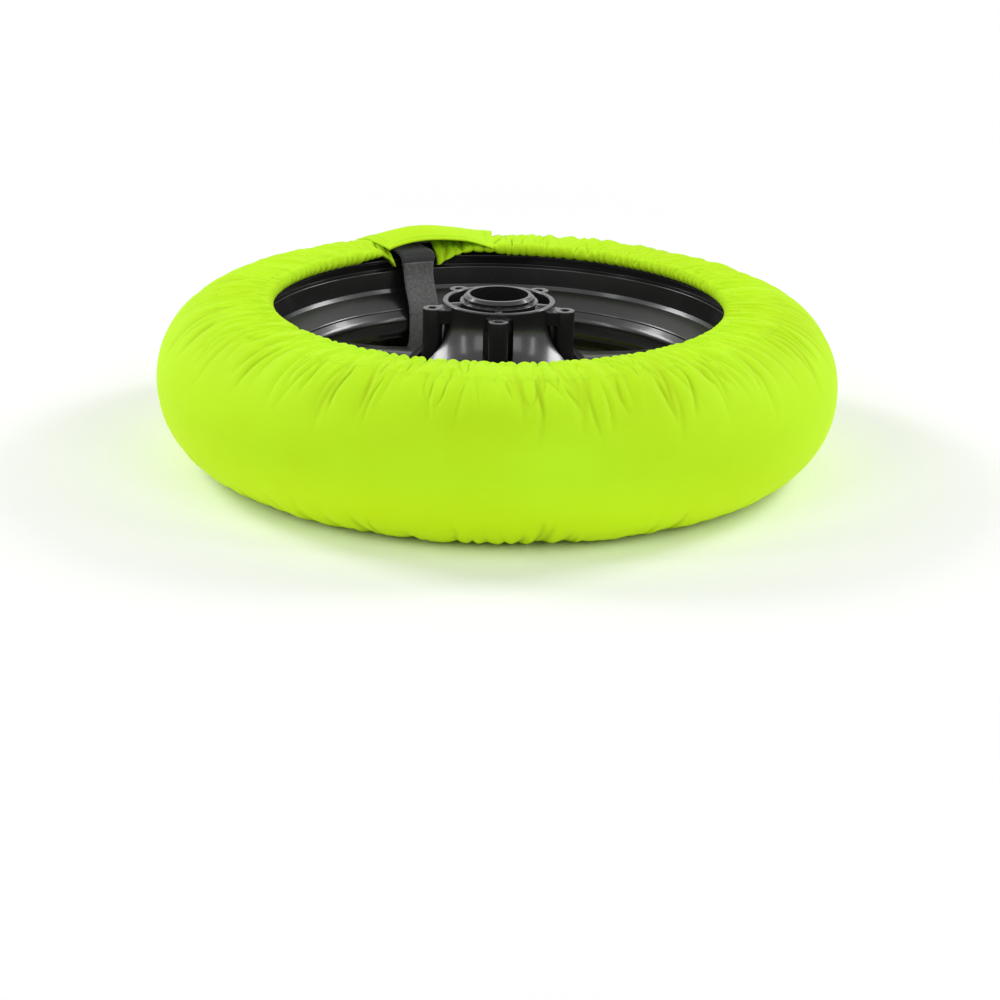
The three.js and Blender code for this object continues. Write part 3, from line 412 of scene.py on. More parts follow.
def cloth_piece(name, rows, columns, wall, stands_for):
    """A closed shell between the folded cloth and its smooth backing, along rows of reach."""
    angles = np.linspace(LEFT_END, RIGHT_END, columns)[:, None]
    back_rows = rows[::-2]
    outside, depth = cloth_surface(angles, rows[None, :])
    near_hem = np.clip(1 - np.minimum(back_rows, span - back_rows) / (22 * mm), 0, 1)
    thickness = CLOTH + (wall - CLOTH) * (1 - near_hem)
    smooth = 1 - near_hem
    inside, _ = cloth_surface(angles, back_rows[None, :], thickness[None, :], smooth[None, :])
    loops = np.concatenate([outside, inside], axis=1)
    reaches = np.concatenate([rows, back_rows])
    around = np.radians(angles) * crest_radius
    uv = np.stack(np.broadcast_arrays(around, reaches[None, :]), axis=-1)
    # The scaled fold depth sets how much shade is painted into the colour; the backing gets none.
    fold_shade = np.concatenate([depth, np.zeros(inside.shape[:2])], axis=1) / (3 * mm)
    piece = swept_solid(name, loops[:, ::-1], uv[:, ::-1], fold_shade[:, ::-1])
    return dress(piece, neon, "neon_fabric", stands_for)


def rows_between(low, high, spacing):
    """Evenly spaced distances along the cloth."""
    return np.linspace(low, high, int(round((high - low) / spacing)) + 1)


SEAM_HALF = 0.02 * mm
SEAM_EDGE = 0.25 * mm
hem_rows = rows_between(-nose_at, 9 * mm, 1.3 * mm)
crown_rows = rows_between(9 * mm, seam_reach - SEAM_EDGE, 2.4 * mm)
upper_rows = np.concatenate([hem_rows, crown_rows[1:], [seam_reach - SEAM_HALF]])
folded_rows = rows_between(seam_reach + SEAM_EDGE, span / 2, 3.4 * mm)
plain_rows = rows_between(span / 2, span - seam_reach - SEAM_EDGE, 4.8 * mm)
seam_rows = [seam_reach + SEAM_HALF, span - seam_reach - SEAM_HALF]
panel_rows = np.concatenate([seam_rows[:1], folded_rows, plain_rows[1:], seam_rows[1:]])
lower_rows = (span - upper_rows)[::-1]
upper_skirt = cloth_piece("upper_skirt_cloth", upper_rows, 1600, SKIRT_BACKING, "upper_skirt")
tread_panel = cloth_piece("tread_panel_cloth", panel_rows, 1280, PANEL_BACKING, "tread_panel")
lower_skirt = cloth_piece("lower_skirt_cloth", lower_rows, 1300, SKIRT_BACKING, "lower_skirt")

# Stitching
# Polyester thread in the cloth's colour, in lockstitch. One row closes each hem's channel and one
# runs beside each seam between a skirt and the tread panel.

STITCH = 2.6 * mm
STITCH_PITCH = 3.6 * mm
THREAD = 0.28 * mm
THREAD_SIDES = 6
FROM_SEAM = 3.2 * mm
FROM_HEM = 13.5 * mm


def stitch_row(name, path, outward):
    """A row of raised stitches along a path of points, with the cloth's outward directions."""
    steps = np.linalg.norm(np.diff(path, axis=0), axis=1)
    travelled = np.concatenate([[0], np.cumsum(steps)])
    starts = np.arange(STITCH_PITCH, travelled[-1] - STITCH_PITCH, STITCH_PITCH)

    def at(where, values):
        return np.stack([np.interp(where, travelled, axis) for axis in values.T], axis=-1)

    rings = np.array([-1.0, -0.6, 0.0, 0.6, 1.0])
    thick = np.array([0.25, 0.85, 1.0, 0.85, 0.25])
    sides = np.radians(np.arange(THREAD_SIDES) * 60)
    points = []
    faces = []
    for start in starts:
        centre = at(start + rings * STITCH / 2, path)
        up = at(start + rings * 0, outward)
        along = centre[-1] - centre[0]
        along /= np.linalg.norm(along)
        across = np.cross(up, along)
        first = len(points)
        for ring in range(len(rings)):
            lift = centre[ring] + up[ring] * THREAD * (thick[ring] - 0.6)
            for side in sides:
                offset = across[ring] * math.cos(side) + up[ring] * math.sin(side)
                points.append(lift + offset * THREAD * thick[ring])
        for ring in range(len(rings) - 1):
            for side in range(THREAD_SIDES):
                a = first + ring * THREAD_SIDES + side
                b = first + ring * THREAD_SIDES + (side + 1) % THREAD_SIDES
                faces.append((a, b, b + THREAD_SIDES, a + THREAD_SIDES))
        last = first + (len(rings) - 1) * THREAD_SIDES
        faces.append([first + side for side in range(THREAD_SIDES)][::-1])
        faces.append([last + side for side in range(THREAD_SIDES)])
    mesh = bpy.data.meshes.new(name)
    mesh.from_pydata(points, [], faces)
    mesh.shade_smooth()
    piece = bpy.data.objects.new(name, mesh)
    bpy.context.scene.collection.objects.link(piece)
    return piece


def twisted_thread():
    """Thread a little darker than the cloth, with its twist as fine bands."""
    material, tree, shader = new_material("neon_thread", (0.47, 0.85, 0.02), 0.6)
    position = add_node(tree, "ShaderNodeTexCoord")
    twist = add_node(tree, "ShaderNodeTexNoise", Vector=position.outputs["Object"], Scale=1500.0)
    height = twist.outputs["Fac"]
    bump = add_node(tree, "ShaderNodeBump", Height=height, Strength=0.5, Distance=0.1 * mm)
    tree.links.new(bump.outputs["Normal"], shader.inputs["Normal"])
    return material


thread = twisted_thread()
stitch_angles = np.linspace(LEFT_END + 0.6, RIGHT_END - 0.6, 2600)[:, None]
STITCH_ROWS = {
    "upper_hem_stitches": FROM_HEM,
    "upper_seam_stitches": seam_reach - FROM_SEAM,
    "lower_seam_stitches": span - seam_reach + FROM_SEAM,
    "lower_hem_stitches": span - FROM_HEM,
}
for row_name, row_reach in STITCH_ROWS.items():
    on_cloth, _ = cloth_surface(stitch_angles, np.array([[row_reach]]))
    in_cloth, _ = cloth_surface(stitch_angles, np.array([[row_reach]]), 1 * mm)
    away = on_cloth[:, 0] - in_cloth[:, 0]
    away /= np.linalg.norm(away, axis=1)[:, None]
    dress(stitch_row(row_name, on_cloth[:, 0], away), thread, "neon_fabric")

# Elastic
# A flat woven band lies in each hem and is sewn to the cloth at the closure. It is white and
# hidden, and its ribs run across it.


def ribbed_elastic():
    """White woven elastic with fine ribs."""
    material, tree, shader = new_material("ribbed_elastic", (0.78, 0.78, 0.72), 0.8)
    position = add_node(tree, "ShaderNodeTexCoord")
    ribs = add_node(tree, "ShaderNodeTexWave", Vector=position.outputs["Object"], Scale=160.0)
    height = ribs.outputs["Fac"]
    bump = add_node(tree, "ShaderNodeBump", Height=height, Strength=0.6, Distance=0.3 * mm)
    tree.links.new(bump.outputs["Normal"], shader.inputs["Normal"])
    return material


def finish_nodes(material, *names):
    """Gives CAD nodes that stay as they are a material of their own."""
    for name in names:
        nodes[name].data.materials.clear()
        nodes[name].data.materials.append(material)


finish_nodes(ribbed_elastic(), "upper_elastic", "lower_elastic")

# Felt, heating tape and lining
# Needled felt behind the tread panel keeps the heat in. A flat carbon tape in amber film is sewn
# to it and runs up and down across the tread, and a heat resistant lining lies on the tyre.


def needled_felt():
    """Grey-white felt with matted fibres."""
    material, tree, shader = new_material("needled_felt", (0.6, 0.58, 0.52), 0.95)
    position = add_node(tree, "ShaderNodeTexCoord")
    spot = position.outputs["Object"]
    fibres = add_node(tree, "ShaderNodeTexNoise", Vector=spot, Scale=260.0, Detail=6.0, Roughness=0.75)
    ramp = add_node(tree, "ShaderNodeValToRGB", Fac=fibres.outputs["Fac"])
    ramp.color_ramp.elements[0].color = (0.42, 0.40, 0.36, 1)
    ramp.color_ramp.elements[1].color = (0.74, 0.72, 0.66, 1)
    tree.links.new(ramp.outputs["Color"], shader.inputs["Base Color"])
    height = fibres.outputs["Fac"]
    bump = add_node(tree, "ShaderNodeBump", Height=height, Strength=0.8, Distance=0.6 * mm)
    tree.links.new(bump.outputs["Normal"], shader.inputs["Normal"])
    return material


def amber_film():
    """Carbon tape seen through amber film, with its fine tow."""
    material, tree, shader = new_material("amber_film", (0.35, 0.12, 0.02), 0.3)
    position = add_node(tree, "ShaderNodeTexCoord")
    spot = position.outputs["Object"]
    tow = add_node(tree, "ShaderNodeTexWave", Vector=spot, Scale=220.0, Distortion=1.5)
    ramp = add_node(tree, "ShaderNodeValToRGB", Fac=tow.outputs["Fac"])
    ramp.color_ramp.elements[0].color = (0.10, 0.035, 0.008, 1)
    ramp.color_ramp.elements[1].color = (0.46, 0.17, 0.03, 1)
    tree.links.new(ramp.outputs["Color"], shader.inputs["Base Color"])
    shader.inputs["Coat Weight"].default_value = 0.6
    return material


def dark_lining():
    """Black lining cloth, closely woven."""
    material, tree, shader = new_material("dark_lining", (0.012, 0.012, 0.013), 0.8)
    position = add_node(tree, "ShaderNodeTexCoord")
    weave = add_node(tree, "ShaderNodeTexVoronoi", Vector=position.outputs["Object"], Scale=900.0)
    height = weave.outputs["Distance"]
    bump = add_node(tree, "ShaderNodeBump", Height=height, Strength=0.6, Distance=0.3 * mm)
    tree.links.new(bump.outputs["Normal"], shader.inputs["Normal"])
    return material


def steel_case():
    """The heat switch's stamped steel case, lightly brushed."""
    material, tree, shader = new_material("steel_case", (0.55, 0.55, 0.54), 0.35)
    shader.inputs["Metallic"].default_value = 1
    position = add_node(tree, "ShaderNodeTexCoord")
    brushed = add_node(tree, "ShaderNodeTexNoise", Vector=position.outputs["Object"], Scale=600.0)
    tree.links.new(brushed.outputs["Fac"], shader.inputs["Roughness"])
    return material


finish_nodes(needled_felt(), "insulation_felt")
finish_nodes(amber_film(), "heating_tape")
finish_nodes(dark_lining(), "inner_lining")
finish_nodes(steel_case(), "heat_switch")

# Closure flap
# A smooth panel of the same cloth is sewn over the left-hand end and lies over the gap and the
# right-hand end. It isn't gathered, so it bulges over the crest. Its edges are turned and stitched.

FLAP_START = 92.0
FLAP_END = 121.5
FLAP_RISE = 11 * mm
FLAP_LIFT = 2.9 * mm
FLAP_LIP = 2 * mm
FLAP_CLOTH = 1.4 * mm
FLAP_LOWEST = -50.0
CLOSURE_GAP = 12.0


def flap_face(angle, offset):
    """Radius and height down the flap at an angle, offset outwards from its inner face."""
    share = (angle - FLAP_START) / (FLAP_END - FLAP_START)
    covered = np.clip((angle - (RIGHT_END - 360)) / CLOSURE_GAP, 0, 1)
    lift = FLAP_LIFT + (0.3 * mm - FLAP_LIFT) * covered
    bulge = math.sin(math.pi * share**1.4) ** 0.8
    sweeps = np.linspace(FLAP_LOWEST, 90, 54)
    upward = np.clip((sweeps - 50) / 40, 0, 1) ** 2
    ripple = 0.5 * mm * np.sin(np.radians(sweeps * 2.1 + angle * 7)) * upward
    face = section_point(sweeps)
    slope = np.gradient(face, axis=0)
    outward = np.stack([slope[:, 1], -slope[:, 0]], axis=-1)
    outward /= np.linalg.norm(outward, axis=1)[:, None]
    resting = lift * (1 - 0.85 * upward) - 5.0 * mm * upward * max(0, 1 - share * 4)
    rise = resting + (FLAP_RISE - resting) * bulge * upward + offset + ripple
    face = face + outward * rise[:, None]
    inward = np.linspace(0, 1, 14)[1:]
    reach_in = crest_radius - (HOLE_RADIUS - FLAP_LIP)
    lip_radius = face[-1, 0] - reach_in * inward
    drop = FLAP_RISE * 0.4 * bulge + 1.5 * mm
    lip_height = face[-1, 1] - drop * inward**2.2
    lip = np.stack([lip_radius, lip_height], axis=-1)
    return np.concatenate([face, lip])


def flap_loops():
    """The flap's closed sections, thicker along its turned edges."""
    loops = []
    fold_shade = []
    reach = []
    angles = np.linspace(FLAP_START, FLAP_END, 70)
    for angle in angles:
        side = min(angle - FLAP_START, FLAP_END - angle) * crest_radius * math.radians(1)
        turned = 0.3 * mm if side < 9 * mm else 0
        outer = flap_face(angle, FLAP_CLOTH + turned)
        inner = flap_face(angle, 0)[::-1]
        section = np.concatenate([outer, inner])
        turn = math.radians(angle)
        x = section[:, 0] * math.cos(turn)
        y = section[:, 0] * math.sin(turn)
        loops.append(np.stack([x, y, section[:, 1]], axis=-1))
        steps = np.concatenate([[0], np.cumsum(np.hypot(*np.diff(outer, axis=0).T))])
        reach.append(np.concatenate([steps, steps[::-1]]))
        fold_shade.append(np.zeros(len(section)))
    around = np.broadcast_to((np.radians(angles) * crest_radius)[:, None], np.array(reach).shape)
    return np.array(loops), np.stack([around, np.array(reach)], axis=-1), np.array(fold_shade)


flap_points, flap_uv, flap_fold_shade = flap_loops()
flap = swept_solid("closure_flap_cloth", flap_points, flap_uv, flap_fold_shade)
dress(flap, neon, "neon_fabric", "closure_flap")

flap_paths = {
    "flap_free_edge_stitches": [(FLAP_START + 1.7, k) for k in range(2, 64)],
    "flap_sewn_edge_stitches": [(FLAP_END - 1.4, k) for k in range(2, 64)],
    "flap_lip_stitches": [(a, 64) for a in np.linspace(FLAP_START + 1.7, FLAP_END - 1.4, 40)],
}
for path_name, places in flap_paths.items():
    line = []
    outward = []
    for angle, row in places:
        turn = math.radians(angle)
        level = []
        for offset in (FLAP_CLOTH + 0.5 * mm, 0):
            radius, height = flap_face(angle, offset)[row]
            level.append(np.array([radius * math.cos(turn), radius * math.sin(turn), height]))
        away = level[0] - level[1]
        if np.linalg.norm(away) < 1e-6:
            away = np.array([0, 0, 1.0])
        line.append(level[0])
        outward.append(away / np.linalg.norm(away))
    dress(stitch_row(path_name, np.array(line), np.array(outward)), thread, "neon_fabric")

# Hook and loop strips
# Two woven strips join the flap's free edge to the sleeve: stiff hooks on one and soft pile on
# the other. They are black and are sewn flat.


def fuzzy_webbing(name, color, scale):
    """Dark webbing with a matted, light-catching pile."""
    material, tree, shader = new_material(name, color, 0.92)
    position = add_node(tree, "ShaderNodeTexCoord")
    spot = position.outputs["Object"]
    pile = add_node(tree, "ShaderNodeTexNoise", Vector=spot, Scale=scale, Detail=5.0, Roughness=0.7)
    ramp = add_node(tree, "ShaderNodeValToRGB", Fac=pile.outputs["Fac"])
    ramp.color_ramp.elements[0].position = 0.3
    ramp.color_ramp.elements[1].position = 0.75
    ramp.color_ramp.elements[0].color = (*(value * 0.6 for value in color), 1)
    ramp.color_ramp.elements[1].color = (*(value * 1.7 for value in color), 1)
    tree.links.new(ramp.outputs["Color"], shader.inputs["Base Color"])
    bump = add_node(tree, "ShaderNodeBump", Height=pile.outputs["Fac"], Strength=0.7, Distance=0.5 * mm)
    tree.links.new(bump.outputs["Normal"], shader.inputs["Normal"])
    shader.inputs["Sheen Weight"].default_value = 0.3
    return material


finish_nodes(fuzzy_webbing("strip_pile", (0.02, 0.02, 0.02), 700.0), "hook_strip", "loop_strip")

# Strap and tabs
# Grey webbing with a looped pile. A wider tab is sewn into each end of the sleeve's skirts and
# hangs into the wheel, and the strap joins the two tabs and draws the skirts together.

STRAP_ANGLE = 113.0
STRAP = 1.5 * mm


def bezier(points, count):
    """A smooth curve through a few points, as count points."""
    points = np.array(points, float)
    padded = np.concatenate([[2 * points[0] - points[1]], points, [2 * points[-1] - points[-2]]])
    curve = []
    for step in np.linspace(0, len(points) - 1 - 1e-9, count):
        k = int(step)
        t = step - k
        a, b, c, d = padded[k : k + 4]
        square = (2 * a - 5 * b + 4 * c - d) * t**2
        cube = (3 * b - a - 3 * c + d) * t**3
        curve.append(0.5 * (2 * b + (c - a) * t + square + cube))
    return np.array(curve)


def webbing(name, path, width_at, thickness=STRAP):
    """A strip of webbing across the closure's direction, along a path of radius and height."""
    sides = np.linspace(-1, 1, 13)
    slope = np.gradient(path, axis=0)
    towards = np.stack([-slope[:, 1], slope[:, 0]], axis=-1)
    towards /= np.linalg.norm(towards, axis=1)[:, None]
    loops = []
    for index in range(len(path)):
        width = width_at(index / (len(path) - 1))
        loop = []
        for side, level in [(k, 0) for k in sides] + [(k, 1) for k in sides[::-1]]:
            edge = 1 - abs(side) ** 12 * 0.4
            deep = thickness * (0.5 + (level - 0.5) * edge)
            r, z = path[index] + towards[index] * deep
            across = side * width / 2
            out = math.sqrt(r * r - across * across)
            loop.append((out, across, z))
        loops.append(loop)
    turn = np.array(Matrix.Rotation(math.radians(STRAP_ANGLE), 3, "Z"))
    return swept_solid(name, (np.array(loops) @ turn.T)[::-1])


tab_low, tab_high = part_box("upper_strap_tab")
strap_low, strap_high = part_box("strap")
tab_radius = HOLE_RADIUS - 1 * mm
tab_end = tab_low.z
tab_top = tab_high.z
upper_tab_path = [
    (tab_radius - 0.5 * mm, tab_end),
    (tab_radius - 0.2 * mm, (tab_end + tab_top) / 2),
    (tab_radius + 0.2 * mm, tab_top - 4.2 * mm),
    (tab_radius + 3.2 * mm, tab_top - 1.8 * mm),
    (tab_radius + 12 * mm, tab_top - 0.9 * mm),
    (tab_radius + 30 * mm, tab_top - 1.6 * mm),
    (tab_radius + 46 * mm, tab_top - 2.6 * mm),
]


def tab_width(share):
    """The tab narrows a little towards its hanging end."""
    return (31 + 5 * min(1, share * 2.2)) * mm


upper_tab = webbing("upper_tab_webbing", bezier(upper_tab_path, 60), tab_width)
lower_tab_path = [(r, SLEEVE_HEIGHT - z) for r, z in upper_tab_path]
lower_curve = bezier(lower_tab_path, 60)[::-1]
lower_tab = webbing("lower_tab_webbing", lower_curve, lambda share: tab_width(1 - share))
strap_out = tab_radius - 2.3 * mm
well_face = 189 * mm
strap_path = [
    (strap_out, strap_low.z),
    (strap_out, strap_low.z + 12 * mm),
    (strap_out - 5 * mm, strap_low.z + 24 * mm),
    (well_face - 0.4 * mm, middle - 14 * mm),
    (well_face - 0.4 * mm, middle + 14 * mm),
    (strap_out - 5 * mm, strap_high.z - 24 * mm),
    (strap_out, strap_high.z - 12 * mm),
    (strap_out, strap_high.z),
]
strap = webbing("strap_webbing", bezier(strap_path, 120), lambda share: 30.5 * mm)
grey_pile = fuzzy_webbing("grey_pile", (0.115, 0.115, 0.115), 420.0)
tab_weave = fuzzy_webbing("tab_weave", (0.035, 0.035, 0.035), 900.0)
dress(upper_tab, tab_weave, "webbing", "upper_strap_tab")
dress(lower_tab, tab_weave, "webbing", "lower_strap_tab")
dress(strap, grey_pile, "webbing", "strap")

# Cable gland
# A moulded rubber gland with a round flange is sewn through the tread panel at the back, where
# the power cord goes in. Three ribs let it bend.

GLAND_ANGLE = 142.0


def turned_solid(name, profile, sides=64, closed=False):
    """Turns a profile of radius and height round Z. A closed one makes a ring."""
    profile = np.array(profile, float)
    angles = np.linspace(0, 2 * math.pi, sides, endpoint=False)
    mesh = bpy.data.meshes.new(name)
    points = []
    faces = []
    rings = []
    for radius, height in profile:
        if radius < 1e-7:
            rings.append([len(points)] * sides)
            points.append((0, 0, height))
            continue
        rings.append(list(range(len(points), len(points) + sides)))
        points.extend((radius * math.cos(a), radius * math.sin(a), height) for a in angles)
    pairs = len(rings) if closed else len(rings) - 1
    for k in range(pairs):
        below = rings[k]
        above = rings[(k + 1) % len(rings)]
        for j in range(sides):
            n = (j + 1) % sides
            corners = [below[j], below[n], above[n], above[j]]
            face = list(dict.fromkeys(corners))
            if len(face) > 2:
                faces.append(face)
    mesh.from_pydata(points, [], faces)
    mesh.shade_smooth()
    piece = bpy.data.objects.new(name, mesh)
    bpy.context.scene.collection.objects.link(piece)
    return piece


def filleted(profile, radius, steps=5):
    """Rounds the corners of a closed profile. Radius is one value or one for each corner."""
    profile = np.array(profile, float)
    radii = np.broadcast_to(radius, len(profile))
    result = []
    for k in range(len(profile)):
        before, corner, after = profile[k - 1], profile[k], profile[(k + 1) % len(profile)]
        to_before, to_after = before - corner, after - corner
        long_before, long_after = np.linalg.norm(to_before), np.linalg.norm(to_after)
        to_before, to_after = to_before / long_before, to_after / long_after
        half = math.acos(np.clip(to_before @ to_after, -1, 1)) / 2
        cut = min(radii[k] / math.tan(max(half, 1e-3)), long_before * 0.45, long_after * 0.45)
        first, last = corner + to_before * cut, corner + to_after * cut
        for step in range(steps + 1):
            t = step / steps
            result.append((1 - t) ** 2 * first + 2 * t * (1 - t) * corner + t**2 * last)
    return np.array(result)


def moulded_rubber(name, roughness=0.62):
    """Black rubber with a faint mould texture."""
    material, tree, shader = new_material(name, (0.014, 0.014, 0.014), roughness)
    position = add_node(tree, "ShaderNodeTexCoord")
    spot = position.outputs["Object"]
    texture = add_node(tree, "ShaderNodeTexNoise", Vector=spot, Scale=380.0, Detail=4.0)
    height = texture.outputs["Fac"]
    bump = add_node(tree, "ShaderNodeBump", Height=height, Strength=0.35, Distance=0.2 * mm)
    tree.links.new(bump.outputs["Normal"], shader.inputs["Normal"])
    return material


rubber = moulded_rubber("moulded_rubber")
face = SLEEVE_RADIUS + 0.3 * mm
gland_profile = [
    (3.5, -9),
    (6.5, -9),
    (6.5, 0),
    (13, 0),
    (13, 1.6),
    (7.8, 2.5),
    (6.6, 4),
    (6.6, 6),
    (5.6, 7),
    (6.4, 8),
    (6.3, 10),
    (5.3, 11),
    (6.0, 12),
    (5.8, 14),
    (4.9, 15),
    (5.3, 16),
    (5.1, 18.5),
    (3.5, 18.5),
]
gland_curve = filleted(np.array(gland_profile) * mm, 0.5 * mm, 3)
gland = turned_solid("gland_rubber", gland_curve, 48, closed=True)
gland.data.transform(
    Matrix.Rotation(math.radians(GLAND_ANGLE), 4, "Z")
    @ Matrix.Translation((face, 0, middle))
    @ Matrix.Rotation(math.radians(90), 4, "Y")
)
dress(gland, rubber, "gland_rubber", "cable_gland")

# Tyre
# A road tyre's carcass fills the sleeve. It is black rubber, and only its side wall could be seen
# through the closure.

finish_nodes(moulded_rubber("tyre_rubber", 0.75), "tyre")

# Wheel
# One aluminium casting, coated gloss black: a rim with a deep well, five spokes, and a bell-shaped
# hub with a bearing collar in a ring at each end. Brake disc lugs stand in channels of the bell.

SPOKES = 5
FIRST_SPOKE = 18.0
LUG_RADIUS = 63.0
CAST_EDGE = 0.9 * mm
BELL_EDGE = 1.3 * mm


def gloss_black():
    """Gloss black coating on a casting: dark, smooth, with a little orange peel."""
    material, tree, shader = new_material("gloss_black", (0.010, 0.010, 0.010), 0.25)
    position = add_node(tree, "ShaderNodeTexCoord")
    spot = position.outputs["Object"]
    wear = add_node(tree, "ShaderNodeTexNoise", Vector=spot, Scale=24.0, Detail=4.0)
    rough = add_node(tree, "ShaderNodeMapRange", Value=wear.outputs["Fac"])
    rough.inputs["To Min"].default_value = 0.20
    rough.inputs["To Max"].default_value = 0.30
    tree.links.new(rough.outputs["Result"], shader.inputs["Roughness"])
    peel = add_node(tree, "ShaderNodeTexNoise", Vector=spot, Scale=180.0, Detail=2.0)
    height = peel.outputs["Fac"]
    bump = add_node(tree, "ShaderNodeBump", Height=height, Strength=0.12, Distance=0.15 * mm)
    tree.links.new(bump.outputs["Normal"], shader.inputs["Normal"])
    shader.inputs["Specular IOR Level"].default_value = 0.45
    shader.inputs["Coat Weight"].default_value = 0.25
    shader.inputs["Coat Roughness"].default_value = 0.10
    return material


black = gloss_black()
RIM_SECTION = [
    (196.5, 14, 3),
    (217.5, 30, 3),
    (218.5, 44.5, 1),
    (231, 45.5, 2),
    (232.5, 50, 1.5),
    (230, 57, 2),
    (220, 59.5, 2),
    (214.6, 60, 1.2),
    (214.8, 57.6, 0.8),
    (218.4, 56, 1.5),
    (221, 49.6, 0.7),
    (217.5, 47.5, 1.5),
    (215.6, 30.4, 0.8),
    (210.6, 22.2, 1.2),
    (207.8, 22.4, 0.8),
    (201, 17, 6),
    (190, 6, 10),
]
rim_lower = [(r, -z, fillet) for r, z, fillet in RIM_SECTION[::-1]]
rim_section = np.array(RIM_SECTION + rim_lower) * mm
rim_curve = filleted(rim_section[:, :2], rim_section[:, 2], 6)
rim_curve[:, 1] += middle
rim = turned_solid("rim_casting", rim_curve, 220, closed=True)
dress(rim, black, "wheel_paint", "wheel_rim")


def joined(name, parts):
    """Joins parts into one mesh object."""
    bm = bmesh.new()
    for part in parts:
        part_mesh = bmesh.new()
        part_mesh.from_mesh(part.data)
        part_mesh.transform(part.matrix_world)
        bmesh.ops.recalc_face_normals(part_mesh, faces=part_mesh.faces)
        spare = bpy.data.meshes.new("spare")
        part_mesh.to_mesh(spare)
        part_mesh.free()
        bm.from_mesh(spare)
        bpy.data.meshes.remove(spare)
    mesh = bpy.data.meshes.new(name)
    bm.to_mesh(mesh)
    bm.free()
    for part in parts:
        bpy.data.objects.remove(part)
    piece = bpy.data.objects.new(name, mesh)
    bpy.context.scene.collection.objects.link(piece)
    return piece


def block(low, high):
    """A rectangular block between two corners, in millimetres."""
    bm = bmesh.new()
    bmesh.ops.create_cube(bm, size=1)
    size = [(b - a) * mm for a, b in zip(low, high)]
    centre = [(a + b) / 2 * mm for a, b in zip(low, high)]
    bm.transform(Matrix.Translation(centre) @ Matrix.Diagonal((*size, 1)))
    mesh = bpy.data.meshes.new("block")
    bm.to_mesh(mesh)
    bm.free()
    piece = bpy.data.objects.new("block", mesh)
    bpy.context.scene.collection.objects.link(piece)
    return piece


def turned_by(piece, degrees):
    """Turns a part round the wheel's axis."""
    piece.data.transform(Matrix.Rotation(math.radians(degrees), 4, "Z"))
    return piece


def apply_modifiers(piece):
    """Replaces a piece's mesh by the one that its modifiers give."""
    graph = bpy.context.evaluated_depsgraph_get()
    result = bpy.data.meshes.new_from_object(piece.evaluated_get(graph))
    piece.modifiers.clear()
    piece.data = result
    return piece


def cut(piece, cutter, operation="DIFFERENCE"):
    """Cuts one solid out of another, or joins it."""
    modifier = piece.modifiers.new("cut", "BOOLEAN")
    modifier.operation = operation
    modifier.solver = "EXACT"
    modifier.object = cutter
    apply_modifiers(piece)
    bpy.data.objects.remove(cutter)
    return piece


def bell_profile():
    """The hub's section, from the upper bore out over the ring and down to the lower bore."""
    flare = []
    for share in np.linspace(0, 1, 14):
        flare.append((51.4 + 29.6 * share**2.2, 15 + (64.8 - 15) * (1 - share)))
    upper = [
        (21, 58.9),
        (26.7, 58.9),
        (26.7, 76.9),
        (29.8, 76.9),
        (32.6, 74.4),
        (32.6, 71.3),
        (35.4, 71.0),
        (35.8, 70.6),
        (35.8, 65.0),
        (33.4, 62.0),
        (33.4, 29.3),
        (46.4, 29.3),
        (46.4, 70.6),
        (47.1, 71.3),
        (50.6, 71.3),
        (51.4, 70.6),
        (51.4, 66.6),
    ]
    lower = [
        (51.4, -66.6),
        (51.4, -70.6),
        (50.6, -71.3),
        (47.1, -71.3),
        (46.4, -70.6),
        (46.4, -29.3),
        (32.6, -29.3),
        (32.6, -71.3),
        (26.7, -71.3),
        (26.7, -53.3),
        (21, -53.3),
    ]
    mirrored = [(r, -z) for r, z in flare[::-1]]
    return np.array(upper + flare + mirrored + lower) * mm


def spoke_solid():
    """One spoke, lofted from the bell out to the well with its long edges rounded."""
    near_bell = [(52, 58, 34), (78, 44, 31), (104, 32, 27)]
    near_well = [(140, 27, 25), (170, 30, 26), (193, 44, 31)]
    loops = []
    for radius, width, depth in bezier(near_bell + near_well, 26):
        loop = []
        for turn in np.radians(np.arange(0, 360, 12)):
            c, s = math.cos(turn), math.sin(turn)
            across = np.sign(c) * abs(c) ** 0.5 * width / 2
            up = np.sign(s) * abs(s) ** 0.55 * depth / 2
            loop.append((radius * mm, across * mm, up * mm))
        loops.append(loop)
    return swept_solid("spoke", np.array(loops))


def arm(low, high):
    """An arm that widens from a post to the ring."""
    outline = [(47, -12.5), (54, -10), (60, -9), (60, 9), (54, 10), (47, 12.5)]
    loops = [[(x * mm, y * mm, z * mm) for x, y in outline] for z in (low, high)]
    return swept_solid("arm", np.array(loops))


def lug_carrier():
    """A disc lug: a post with a bolt hole at each end, its web, and the web across the pocket."""
    lower_hole = [(0, -45.7), (4.2, -45.7), (4.2, -67.7)]
    profile = lower_hole + [(9, -67.7), (9, 67.7), (4.2, 67.7), (4.2, 45.7), (0, 45.7)]
    post = turned_solid("post", filleted(np.array(profile) * mm, 0.5 * mm, 3), 40)
    post.data.transform(Matrix.Translation((LUG_RADIUS * mm, 0, 0)))
    ear = arm(54, 67.2)
    low_ear = arm(-67.2, -54)
    web = block((46, -4, -65.7), (56, 4, 65.7))
    pocket_web = block((29.2, -3.5, -70.7), (49, 3.5, 70.7))
    return joined("carrier", [post, ear, low_ear, web, pocket_web])


